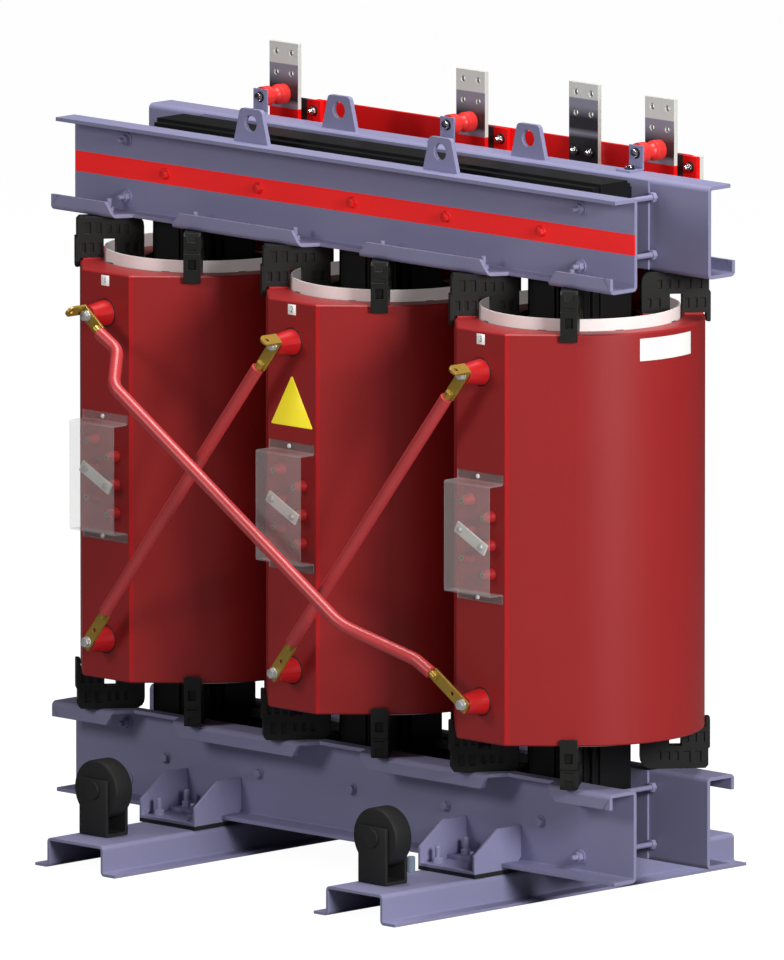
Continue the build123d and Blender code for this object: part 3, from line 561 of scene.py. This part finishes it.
# the pale laminate glows a little: painted light on the barrier tubes
laminate = coated("pale_laminate", (0.90, 0.84, 0.82), 0.55, mottle=0.10, edge_worn_and_highlit=0.2, glow=0.14)
moulding = coated(
    "block_moulding", (0.011, 0.011, 0.010), 0.5, edge_worn_and_highlit=0.5, edge=(0.032, 0.032, 0.03, 1),
    grain=900.0, specular=0.3
)
core_black = coated(
    "core_paint", (0.006, 0.006, 0.0065), 0.5, edge_worn_and_highlit=0.3, edge=(0.03, 0.03, 0.032, 1), specular=0.25
)
wheel_black = coated(
    "wheel_casting", (0.015, 0.0155, 0.015), 0.6, edge_worn_and_highlit=0.4, edge=(0.05, 0.05, 0.05, 1), grain=300.0,
    relief=0.25, specular=0.3
)
soft_pad = coated("silicone_pad", (0.50, 0.008, 0.008), 0.5)
rubber = coated("rubber_pad", (0.008, 0.008, 0.008), 0.75)
board = coated("dark_board", (0.010, 0.010, 0.010), 0.7)
sleeve_red = coated("heat_shrunk_sleeve", (0.52, 0.048, 0.052), 0.34, mottle=0.2, grain=250.0)
# the leads' near-black steps are painted reflections
bus_red = coated("bus_insulation", insulation_red[:3], 0.42, specular=0.2, paint=lead_paint)
gold = coated(
    "yellow_passivated_copper", (0.42, 0.27, 0.040), 0.36, mottle=0.6, metallic=0.45,
    edge=(0.60, 0.42, 0.12, 1)
)
tinned = tinned_finish("tinned_bar")
# the phase and neutral bars carry painted reflections in bands on their fronts
tinned_foot = tinned_finish("tinned_bar_with_red_foot_and_painted_reflections", paint=phase_bar_paint)
tinned_neutral = tinned_finish("neutral_bar_plating_and_painted_reflections", paint=neutral_bar_paint)
bus_plating = tinned_finish("neutral_bus_finish", mottle=0.1, paint=bus_paint)
zinc = coated("zinc_plating", (0.62, 0.63, 0.62), 0.34, mottle=0.25, metallic=0.6)
bright_steel = coated("bright_steel", (0.50, 0.50, 0.50), 0.18, mottle=0.3, metallic=1.0)
white_nylon = coated("white_nylon", (0.82, 0.80, 0.80), 0.4)
# both label finishes glow a little: painted light
label_white = coated("label_white", (0.80, 0.80, 0.78), 0.45, edge_worn_and_highlit=0.1, glow=0.25)
label_yellow = coated("label_yellow", (0.82, 0.68, 0.022), 0.4, edge_worn_and_highlit=0.1, glow=0.45)
label_ink = coated("label_ink", (0.03, 0.03, 0.04), 0.5)
# the edge mask greys the clear sheet's rims: painted shade along its edges
clear_sheet = coated(
    "clear_sheet", (0.86, 0.84, 0.84), 0.14, mottle=0.05, edge_worn_and_highlit=0.8, edge=(0.3, 0.3, 0.3, 1),
    alpha=0.17
)
pin_grey = coated("pin_grey", (0.20, 0.26, 0.33), 0.5, specular=0.2)

finishes = [
    (striped_paint, ["upper_front_clamp"]),
    (frame_paint, ["upper_back_clamp", "lower_front_clamp", "lower_back_clamp", "lifting_lugs"]),
    (frame_paint, ["front_feet", "back_feet", "left_base_rail", "right_base_rail"]),
    (frame_paint, ["insulator_brackets", "yoke_insulation"]),
    (core_black, ["core_limbs", "lower_yoke", "upper_yoke", "pull_plates"]),
    (cast_resin, [f"{side}_hv_coil" for side in sides]),
    (winding, [f"{side}_lv_coil" for side in sides]),
    (laminate, [f"{side}_barrier_cylinder" for side in sides]),
    (board, ["duct_sticks"]),
    (soft_pad, ["spacer_pads"]),
    (rubber, ["foot_pads"]),
    (bright_resin, ["hv_bushings"]),
    (tap_resin, ["tap_cones"]),
    (insulator_resin, ["post_insulators"]),
    (gold, ["left_delta_link", "right_delta_link", "long_delta_link"]),
    (sleeve_red, ["delta_sleeves"]),
    (tinned_foot, [f"{side}_phase_bar" for side in sides]),
    (tinned_neutral, ["neutral_bar"]),
    (tinned, ["tap_links"]),
    (bus_plating, ["neutral_bus"]),
    (bus_red, ["neutral_leads"]),
    (clear_sheet, ["tap_covers"]),
    (wheel_black, ["roller_axles"]),
]
for material, names in finishes:
    for name in names:
        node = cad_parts[name]
        node.data.materials.clear()
        node.data.materials.append(material)


# ---- fasteners

# heights in mm over a seat: the top of its washer, and just inside the top of the nut on that
on_washer = 2.5
in_nut_top = 12.4
m12_nut = hex_prism(19, 10)
m12_washer = washer(12, 6.5, on_washer)
big_washer = washer(15.5, 6.5, on_washer)
yoke_washer = washer(12.5, 8.2, on_washer)
yoke_head = hex_prism(18, 8)
yoke_nut = hex_prism(18, 10)
stud_end = threaded_stud(6, 14)
tall_stud = threaded_stud(6, 28)
half_pitch = (limb_x[1] - limb_x[0]) / 2
yoke_bolt_x = [k * half_pitch for k in range(-2, 3)]
through = 2 * back_web_y / mm


def yoke_bolt_piece(name, z, material):
    """The heads in front and the nuts behind of the bolts through one yoke."""
    heads = [pointing(x, front_web_y, z, front, 0.3 * k) for k, x in enumerate(yoke_bolt_x)]
    nuts = [pointing(x, back_web_y, z, back, 0.4 * k) for k, x in enumerate(yoke_bolt_x)]
    shanks = [pointing(x, back_web_y, z, front) for x in yoke_bolt_x]
    shank = turned([(0, 0), (8, 0), (8, through), (0, through)], 16)
    return new_piece(
        name,
        gather([
            stack(yoke_washer, 0, heads + nuts),
            stack(yoke_head, on_washer, heads),
            stack(yoke_nut, on_washer, nuts),
            stack(threaded_stud(7, 10), in_nut_top, nuts),
            (shank, shanks),
        ]),
        material,
    )


upper_yoke_bolts = yoke_bolt_piece("upper_yoke_bolt_set", upper_yoke_z, stripe_bolt)
yoke_bolt_piece("lower_yoke_bolt_set", lower_yoke_z, frame_paint)
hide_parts("yoke_bolts")

tie_rod_x = 665 * mm
tie_rod_spread = 60 * mm
tie_places = [
    (s * tie_rod_x, z + t * tie_rod_spread)
    for z in (lower_yoke_z, upper_yoke_z)
    for s in (-1, 1)
    for t in (-1, 1)
]
outer_seats = [
    pointing(x, side * back_web_y, z, (0, side, 0), 0.2)
    for x, z in tie_places
    for side in (-1, 1)
]
inner_seats = [
    pointing(x, side * (back_web_y - clamp_plate), z, (0, -side, 0), 0.5)
    for x, z in tie_places
    for side in (-1, 1)
]
rod = turned([(0, 0), (5.6, 0), (5.6, through), (0, through)], 16)
tie_rods = new_piece(
    "tie_rod_set",
    gather([
        stack(big_washer, 0, outer_seats),
        stack(m12_nut, on_washer, outer_seats + inner_seats),
        stack(stud_end, 11.8, outer_seats),
        (rod, [pointing(x, back_web_y, z, front) for x, z in tie_places]),
    ]),
    frame_paint,
)
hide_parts("tie_rods")

press_radius = 200 * mm
block_angles = [radians(a) for a in (50.3, 129.7, -50.3, -129.7)]
press_places = [
    (x + press_radius * cos(a), press_radius * sin(a)) for x in limb_x for a in block_angles
]
press_seats = [pointing(x, y, upper_clamp[0].z + clamp_plate, up) for x, y in press_places]
press_seats += [pointing(x, y, lower_clamp[1].z - clamp_plate, down) for x, y in press_places]
pressing = new_piece(
    "pressing_bolt_set",
    gather([(m12_nut, press_seats), (tall_stud, press_seats)]),
    frame_paint,
)
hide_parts("pressing_bolts")

rail_x = [middle(f"{side}_base_rail")[0] for side in ("left", "right")]
foot_top = lower_clamp[0].z
foot_bolt_spread = 50 * mm
foot_rows = ((142 * mm, foot_top + clamp_plate), (225 * mm, foot_top))
foot_seats = [
    pointing(x + s * foot_bolt_spread, side * y, z, up)
    for side in (-1, 1)
    for y, z in foot_rows
    for x in rail_x
    for s in (-1, 1)
]
foot_bolts = new_piece(
    "foot_bolt_set",
    gather([
        stack(m12_washer, 0, foot_seats),
        stack(m12_nut, on_washer, foot_seats),
        stack(threaded_stud(6, 24), in_nut_top, foot_seats),
    ]),
    frame_paint,
)
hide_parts("foot_bolts")

terminal_rise = 345 * mm
terminal_front = face_y - 55 * mm
terminal_z = (coil_middle - terminal_rise, coil_middle + terminal_rise)
terminal_seats = [
    pointing(x, terminal_front, z, front, 0.35 + 0.3 * k)
    for k, (x, z) in enumerate((x, z) for x in limb_x for z in terminal_z)
]
terminals = new_piece(
    "terminal_bolt_set",
    gather([
        stack(m12_washer, 0, terminal_seats),
        stack(hex_prism(19, 8), on_washer, terminal_seats),
    ]),
    zinc,
)
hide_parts("hv_terminal_bolts")

tap_front = face_y - 26 * mm
tap_link_front = tap_front - 4.5 * mm
tap_places = [
    (x + side * 30 * mm, coil_middle + (row * 60 - side * 15) * mm, row)
    for x in limb_x
    for side in (-1, 1)
    for row in (-1, 0, 1)
]
link_seats = [pointing(x, tap_link_front, z, front, 0.4) for x, z, row in tap_places if row == 0]
open_seats = [pointing(x, tap_front, z, front) for x, z, row in tap_places if row != 0]
tap_link_bolts = new_piece(
    "tap_link_bolt_set",
    gather([
        stack(washer(7.5, 3.2, 1.2), 0, link_seats),
        stack(hex_prism(11, 4.6), 1.2, link_seats),
    ]),
    zinc,
)
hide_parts("tap_bolts")
new_piece(
    "tap_insert_set", gather([(washer(6.2, 2.6, 1.0), open_seats)]), brass
)
# painted shade: a black disc in each open insert stands for the shade inside its hole
hole_shade_disc = turned([(0, 0), (2.8, 0), (2.8, 0.3), (0, 0.3)], 16)
new_piece("tap_hole_shade_set", gather([(hole_shade_disc, open_seats)]), core_black)

screw_rise = 126.5 * mm
screw_profile = [(0, 0), (5.0, 0), (5.0, 1.4), (4.2, 2.9), (2.4, 3.7), (0, 3.9)]
screw_seats = [
    pointing(x - 5 * mm, face_y - 3 * mm, coil_middle + s * screw_rise, front)
    for x in limb_x
    for s in (-1, 1)
]
screws = new_piece(
    "cover_screw_set", gather([(turned(screw_profile, 20), screw_seats)]), white_nylon,
)
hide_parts("cover_screws")

bracket_low, bracket_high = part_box("insulator_brackets")
bracket_plate = 4 * mm
bracket_front = bracket_high.y - bracket_plate
bracket_foot_top = bracket_low.z + bracket_plate
insulator_z = middle("post_insulators")[2]
neutral_middle = middle("neutral_bar")[0]
neutral_bolt_z = 1509 * mm
bus_seats = [pointing(x + 53 * mm, neutral_front, neutral_bolt_z, front, 0.2) for x in limb_x]
bus_seats += [
    pointing(neutral_middle + s * 22 * mm, neutral_front, neutral_bolt_z, front, 0.4)
    for s in (-1, 1)
]
bracket_seats = [pointing(x, bracket_front, insulator_z, front) for x in limb_x]
bracket_foot_seats = [pointing(x, bracket_front - 18 * mm, bracket_foot_top, up) for x in limb_x]
behind_seats = [pointing(x, phase_back, insulator_z, back) for x in limb_x]
busbar_seats = bus_seats + bracket_seats + bracket_foot_seats + behind_seats
busbar_bolts = new_piece(
    "busbar_bolt_set",
    gather([stack(hex_prism(17, 6.5), 2, busbar_seats), stack(threaded_stud(5, 9), 8.3, bus_seats)]),
    bright_steel,
)
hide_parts("busbar_bolts")
new_piece(
    "busbar_washer_set", gather([(washer(11.5, 5.5, 2), busbar_seats)]), core_black,
)


# ---- bushings' joint rings and the labels

ring_profile = [(27.4, 0.0), (31.0, 0.0), (30.4, 1.2), (28.2, 1.6), (27.4, 0.0)]
bushing_seats = [pointing(x, face_y, z, front) for x in limb_x for z in terminal_z]
new_piece(
    "bushing_joint_rings", gather([(turned(ring_profile, 40), bushing_seats)]), dark_ring,
)

on_face = Matrix.Rotation(pi / 2, 4, "X")
tag_z = 1206 * mm
tag_seats = [Matrix.Translation((x, face_y, tag_z)) @ on_face for x in limb_x]
new_piece(
    "phase_tags", gather([(plate(rectangle(23, 22), 0.6), tag_seats)]), label_white
)


def numeral(text, height, matrix):
    """A thin raised numeral, as a bmesh already in its place."""
    curve = bpy.data.curves.new("numeral", "FONT")
    curve.body = text
    curve.size = height * mm / 0.7
    curve.align_x = "CENTER"
    curve.align_y = "CENTER"
    curve.extrude = 0.05 * mm
    holder = bpy.data.objects.new("numeral", curve)
    bpy.context.scene.collection.objects.link(holder)
    bpy.context.view_layer.update()
    mesh = bpy.data.meshes.new_from_object(holder.evaluated_get(bpy.context.evaluated_depsgraph_get()))
    bpy.data.objects.remove(holder)
    bm = bmesh.new()
    bm.from_mesh(mesh)
    bpy.data.meshes.remove(mesh)
    bmesh.ops.remove_doubles(bm, verts=bm.verts, dist=1e-7)
    bmesh.ops.transform(bm, matrix=matrix, verts=bm.verts)
    return bm


numerals = bmesh.new()
for text, seat in zip("123", tag_seats):
    figure = numeral(text, 13, seat @ Matrix.Translation((0, 0, 0.62 * mm)))
    add_copy(numerals, figure, Matrix.Identity(4))
new_piece("phase_numerals", numerals, label_ink)

yellow_foot_z = 961 * mm
yellow_seat = Matrix.Translation((limb_x[1], face_y, yellow_foot_z)) @ on_face
yellow_outline = [(-60, 2), (-58, 0), (58, 0), (60, 2), (2, 104), (-2, 104)]
new_piece(
    "yellow_plate", gather([(plate(yellow_outline, 0.8), [yellow_seat])]), label_yellow,
)


def curved_label(radius, x, angles, heights, thickness):
    """A thin label bent round a coil, between two angles and two heights."""
    low, high = angles
    bm = bmesh.new()
    start = [bm.verts.new((radius * cos(low), radius * sin(low), z)) for z in heights]
    edge = bm.edges.new(start)
    bmesh.ops.spin(
        bm, geom=start + [edge], cent=(0, 0, 0), axis=(0, 0, 1), angle=high - low, steps=24,
        use_merge=False
    )
    bmesh.ops.recalc_face_normals(bm, faces=bm.faces)
    bmesh.ops.solidify(bm, geom=bm.faces, thickness=thickness)
    bmesh.ops.translate(bm, verts=bm.verts, vec=(x, 0, 0))
    return bm


label_angles = (radians(-17), radians(16))
label_heights = (1163 * mm, 1210 * mm)
new_piece(
    "blank_label",
    curved_label(hv_radius + 0.9 * mm, limb_x[2], label_angles, label_heights, 0.5 * mm),
    label_white,
)


# ---- rollers


roller_half = 24.5
roller_shoulder = [(58, roller_half), (60.4, 23.9), (61.9, 22.3), (62.5, 20)]


def roller_mesh():
    """A roller turned with rounded shoulders and flat faces, open for its axle."""
    bore = 12.6
    lower = [(radius, -height) for radius, height in roller_shoulder]
    profile = [(bore, -roller_half)] + lower + roller_shoulder[::-1]
    return turned(profile + [(bore, roller_half), (bore, -roller_half)], 72)


roller_shape = roller_mesh()
for corner in corners:
    wheel = new_piece(
        f"{corner}_wheel",
        gather([(roller_shape, [pointing(*middle(f"{corner}_roller"), front)])]),
        wheel_black,
        body=f"{corner}_wheel",
    )
    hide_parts(f"{corner}_roller")


# ---- roller forks: a folded channel with two straight ears


def fork_shape():
    """One fork, its foot at Z = 0 and its ears across Y, folded from 7 mm plate."""
    ear_top = 120
    half_length = 40
    section = [(-32, ear_top), (-32, 4), (-31, 1), (-28, 0), (28, 0), (31, 1), (32, 4), (32, ear_top)]
    section += [(25, ear_top), (25, 8.5), (24, 7), (-24, 7), (-25, 8.5), (-25, ear_top)]
    bm = bmesh.new()
    face = bm.faces.new([bm.verts.new((-half_length * mm, y * mm, z * mm)) for y, z in section])
    grow(bm, [face], (2 * half_length * mm, 0, 0))
    bmesh.ops.recalc_face_normals(bm, faces=bm.faces)
    soften(bm, [e for e in bm.edges if e.calc_face_angle(0) > radians(60)], 0.8 * mm)
    return bm


fork_seats = [
    Matrix.Translation((*middle(f"{corner}_roller")[:2], rail_top_z)) for corner in corners
]
forks = new_piece(
    "roller_fork_set", gather([(fork_shape(), fork_seats)]), wheel_black
)
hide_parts("roller_forks")


# ---- spacer blocks: a slab between two pocketed side plates, with a pocketed outer end

block_rise = 86.7
block_half = 18.0
block_end = 271
pocket_depth = 3.5
pocket_floor = 266
side_outline = [
    (127, 0), (186, 0), (186, 39.7), (212, 39.7), (212, 0), (262, 0), (262, -16.3), (266, -19.3),
    (268, -19.3), (block_end, -16.3), (block_end, 43), (267.5, 45), (267.5, 80), (261, block_rise),
    (147, block_rise), (139, 84.8), (132, 80), (128.4, 73), (127, 65),
]
core_outline = [
    (127, 0), (186, 0), (186, 39.7), (212, 39.7), (212, 0), (262, 0), (262, -19), (265.5, -19),
    (265.5, 82), (262.5, block_rise), (143, block_rise), (133, 82), (128, 74), (127, 66),
]
pockets = [window(217 + 22.5 * k, 51, 13, 23) for k in range(2)]
pockets += [window(160 + 18 * k, 51, 9, 18) for k in range(3)]
pockets += [window(216 + 17 * k, 11, 10, 20) for k in range(3)]
pockets += [window(138 + 19 * k, 11, 9, 19) for k in range(2)]


def outward(distance):
    """A matrix that turns a slab to face away from the limb, at a distance in mm."""
    return Matrix.Translation((distance * mm, 0, 0)) @ Matrix.Rotation(pi / 2, 4, "Z")


def end_plates():
    """The block's outer end: a notched upper plate and a thicker lower one with a pocket."""
    upper = [
        (-14.4, 43), (14.4, 43), (14.4, 80), (9.5, 80), (9.5, 67), (-9.5, 67), (-9.5, 80), (-14.4, 80)
    ]
    lower = [(-14.4, -19.3), (14.4, -19.3), (14.4, 43), (-14.4, 43)]
    bm = slab([upper, window(-11, 50, 22, 1.6)], 3.5, 5.6)
    add_copy(bm, slab([lower, window(-8.5, 10, 17, 21)], 0, 5.6), Matrix.Identity(4))
    bmesh.ops.transform(bm, matrix=outward(block_end), verts=bm.verts)
    return bm


def block_shape():
    """One spacer block: X is away from the limb, its foot at Z = 0, as it stands on the coils."""
    core_half = block_half - pocket_depth
    pocketed = [side_outline] + pockets
    return gather([
        (slab([core_outline], -core_half, core_half), in_place),
        (slab(pocketed, -block_half, -core_half), in_place),
        (slab(pocketed, core_half, block_half), in_place),
        (end_plates(), in_place),
    ])


block = block_shape()
upper_foot = upper_clamp[0].z - block_rise * mm
lower_foot = lower_clamp[1].z + block_rise * mm
upside_down = Matrix.Scale(-1, 4, (0, 0, 1))
upper_seats = []
lower_seats = []
for x in limb_x:
    for angle in block_angles:
        turn = Matrix.Rotation(angle, 4, "Z")
        upper_seats.append(Matrix.Translation((x, 0, upper_foot)) @ turn)
        lower_seats.append(Matrix.Translation((x, 0, lower_foot)) @ turn @ upside_down)
upper_blocks = new_piece(
    "upper_block_set", gather([(block, upper_seats)]), moulding
)
lower_blocks = new_piece(
    "lower_block_set", gather([(block, lower_seats)]), moulding
)
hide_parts("upper_spacer_blocks")
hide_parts("lower_spacer_blocks")

# painted shade: thin black plates at the floor of each end pocket stand for the shade inside it
pocket_shade = slab([window(-8.4, 10.1, 16.8, 20.8)], 0, 0.4)
bmesh.ops.transform(pocket_shade, matrix=outward(pocket_floor), verts=pocket_shade.verts)
new_piece(
    "block_pocket_shades", gather([(pocket_shade, upper_seats + lower_seats)]), core_black,
)


# ---- lifting lugs, square ends of the clamps' lips, barrier tubes and the pin on the rail

lug_half = 50
lug_plate = 10
lug_outline = [(-lug_half, 0), (lug_half, 0)]
lug_outline += arc(23.5, 61.5, 9.9, 14, 90, 6) + arc(-23.5, 61.5, 9.9, 90, 166, 6)
lug_hole = arc(0, 41, 18, 360, 15, 23)
lug_shape = slab([lug_outline, lug_hole], -lug_plate / 2, lug_plate / 2)
lug_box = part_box("lifting_lugs")
lug_x = lug_box[1].x - lug_half * mm
lug_y = lug_box[1].y - lug_plate / 2 * mm
lug_seats = [
    Matrix.Translation((a * lug_x, b * lug_y, upper_clamp[1].z)) for a in (-1, 1) for b in (-1, 1)
]
lugs = new_piece(
    "lifting_lug_set", gather([(lug_shape, lug_seats)]), frame_paint
)
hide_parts("lifting_lugs")

clamp_end = upper_clamp[1].x / mm
lip_face = -upper_clamp[0].y / mm
lip_plate = clamp_plate / mm
lip_root = 7.5
lip_height = 33
lip_cut = 21
lips = ((1, upper_clamp[0].z / mm), (-1, lower_clamp[1].z / mm))
lip_corners = bmesh.new()
for side in (-1, 1):
    for rise, flange_z in lips:
        for end in (-1, 1):
            root = flange_z + rise * lip_root
            edge = flange_z + rise * lip_height
            tip_x = end * clamp_end
            cut_x = end * (clamp_end - lip_cut)
            triangle = [(tip_x, root), (tip_x, edge), (cut_x, edge)]
            y_low, y_high = sorted((side * (lip_face - lip_plate), side * lip_face))
            add_copy(lip_corners, slab([triangle], y_low, y_high), Matrix.Identity(4))
new_piece("lip_end_corners", lip_corners, frame_paint)

tube_inner = 204
tube_outer = 208
tube_bottom = coil_bottom / mm - 9
tube_top = coil_top / mm + 24
tube_profile = [
    (tube_inner, tube_bottom), (tube_outer, tube_bottom), (tube_outer, tube_top),
    (tube_inner, tube_top), (tube_inner, tube_bottom),
]
for side, x in zip(sides, limb_x):
    tube = turned(tube_profile, 96)
    bmesh.ops.translate(tube, verts=tube.verts, vec=(x, 0, 0))
    barrier = new_piece(f"{side}_barrier_tube", tube, laminate)
    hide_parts(f"{side}_barrier_cylinder")

pin_height = 32.5
pin = turned([(0, 0), (8.5, 0), (8.5, pin_height - 1), (7.5, pin_height), (0, pin_height)], 32)
pin_seat = pointing(338 * mm, -281 * mm, rail_top_z, up)
new_piece("rail_pin", gather([(pin, [pin_seat])]), pin_grey)


# ---- floor, light and camera


def seen_by_camera(tree):
    """1 on rays from the camera, straight or through a clear cover."""
    path = tree.nodes.new("ShaderNodeLightPath")
    straight, through_cover = path.outputs["Is Camera Ray"], path.outputs["Is Transmission Ray"]
    return math_node(tree, "MAXIMUM", straight, through_cover)


def paper(tree, grey):
    """A plain matt grey."""
    diffuse = tree.nodes.new("ShaderNodeBsdfDiffuse")
    diffuse.inputs["Color"].default_value = (grey, grey, grey, 1)
    return diffuse.outputs[0]


def floor_material():
    """Nearly white to the camera, with enough real light left in it to keep the shadows."""
    material = bpy.data.materials.new("floor_paper")
    material.use_nodes = True
    tree = material.node_tree
    tree.nodes.clear()
    out = tree.nodes.new("ShaderNodeOutputMaterial")
    glow = tree.nodes.new("ShaderNodeEmission")
    glow.inputs["Strength"].default_value = 0.97
    add = tree.nodes.new("ShaderNodeAddShader")
    mix = tree.nodes.new("ShaderNodeMixShader")
    tree.links.new(paper(tree, 0.16), add.inputs[0])
    tree.links.new(glow.outputs[0], add.inputs[1])
    tree.links.new(seen_by_camera(tree), mix.inputs[0])
    tree.links.new(paper(tree, 0.30), mix.inputs[1])
    tree.links.new(add.outputs[0], mix.inputs[2])
    tree.links.new(mix.outputs[0], out.inputs[0])
    return material


def make_floor():
    """A wide plain floor under the rails."""
    bm = bmesh.new()
    bmesh.ops.create_grid(bm, x_segments=2, y_segments=2, size=60)
    mesh = bpy.data.meshes.new("floor")
    bm.to_mesh(mesh)
    bm.free()
    mesh.materials.append(floor_material())
    floor = bpy.data.objects.new("floor", mesh)
    floor.location.z = -0.5 * mm
    bpy.context.scene.collection.objects.link(floor)


def background(tree, strength):
    """Plain white light from all round."""
    node = tree.nodes.new("ShaderNodeBackground")
    node.inputs["Strength"].default_value = strength
    return node.outputs[0]


def make_world():
    """Faint light on the object from all round, white to the camera."""
    world = bpy.data.worlds.new("studio")
    bpy.context.scene.world = world
    world.use_nodes = True
    tree = world.node_tree
    tree.nodes.clear()
    out = tree.nodes.new("ShaderNodeOutputWorld")
    mix = tree.nodes.new("ShaderNodeMixShader")
    tree.links.new(seen_by_camera(tree), mix.inputs[0])
    tree.links.new(background(tree, 0.06), mix.inputs[1])
    tree.links.new(background(tree, 1.02), mix.inputs[2])
    tree.links.new(mix.outputs[0], out.inputs[0])


def area_light(name, place, target, size, power):
    """A square soft lamp aimed at a point."""
    data = bpy.data.lights.new(name, "AREA")
    data.size = size
    data.energy = power
    lamp = bpy.data.objects.new(name, data)
    lamp.location = place
    lamp.rotation_euler = (Vector(target) - Vector(place)).to_track_quat("-Z", "Y").to_euler()
    bpy.context.scene.collection.objects.link(lamp)


def make_camera():
    """A very long lens at a three-quarter view, so that parallel edges stay parallel."""
    azimuth = radians(44.764)
    elevation = radians(9.336)
    shown_height = 1998.6 * mm
    aim = Vector((1.8 * mm, 1.8 * mm, 814 * mm))
    data = bpy.data.cameras.new("camera")
    data.lens = 1200
    data.sensor_width = 36
    distance = data.lens / data.sensor_width * shown_height
    away = Vector((sin(azimuth) * cos(elevation), -cos(azimuth) * cos(elevation), sin(elevation)))
    camera = bpy.data.objects.new("camera", data)
    camera.location = aim + away * distance
    camera.rotation_euler = away.to_track_quat("Z", "Y").to_euler()
    data.clip_end = 200
    bpy.context.scene.collection.objects.link(camera)
    bpy.context.scene.camera = camera


make_floor()
make_world()
area_light("key", (6.4, -1.4, 2.9), (0, 0, 0.8), 2.0, 360)
area_light("top", (0.3, 0.2, 6.0), (0, 0, 0.8), 2.2, 260)
area_light("front", (-2.0, -6.5, 3.6), (0, 0, 0.9), 2.0, 118)
make_camera()
bpy.context.scene.view_settings.view_transform = "Standard"
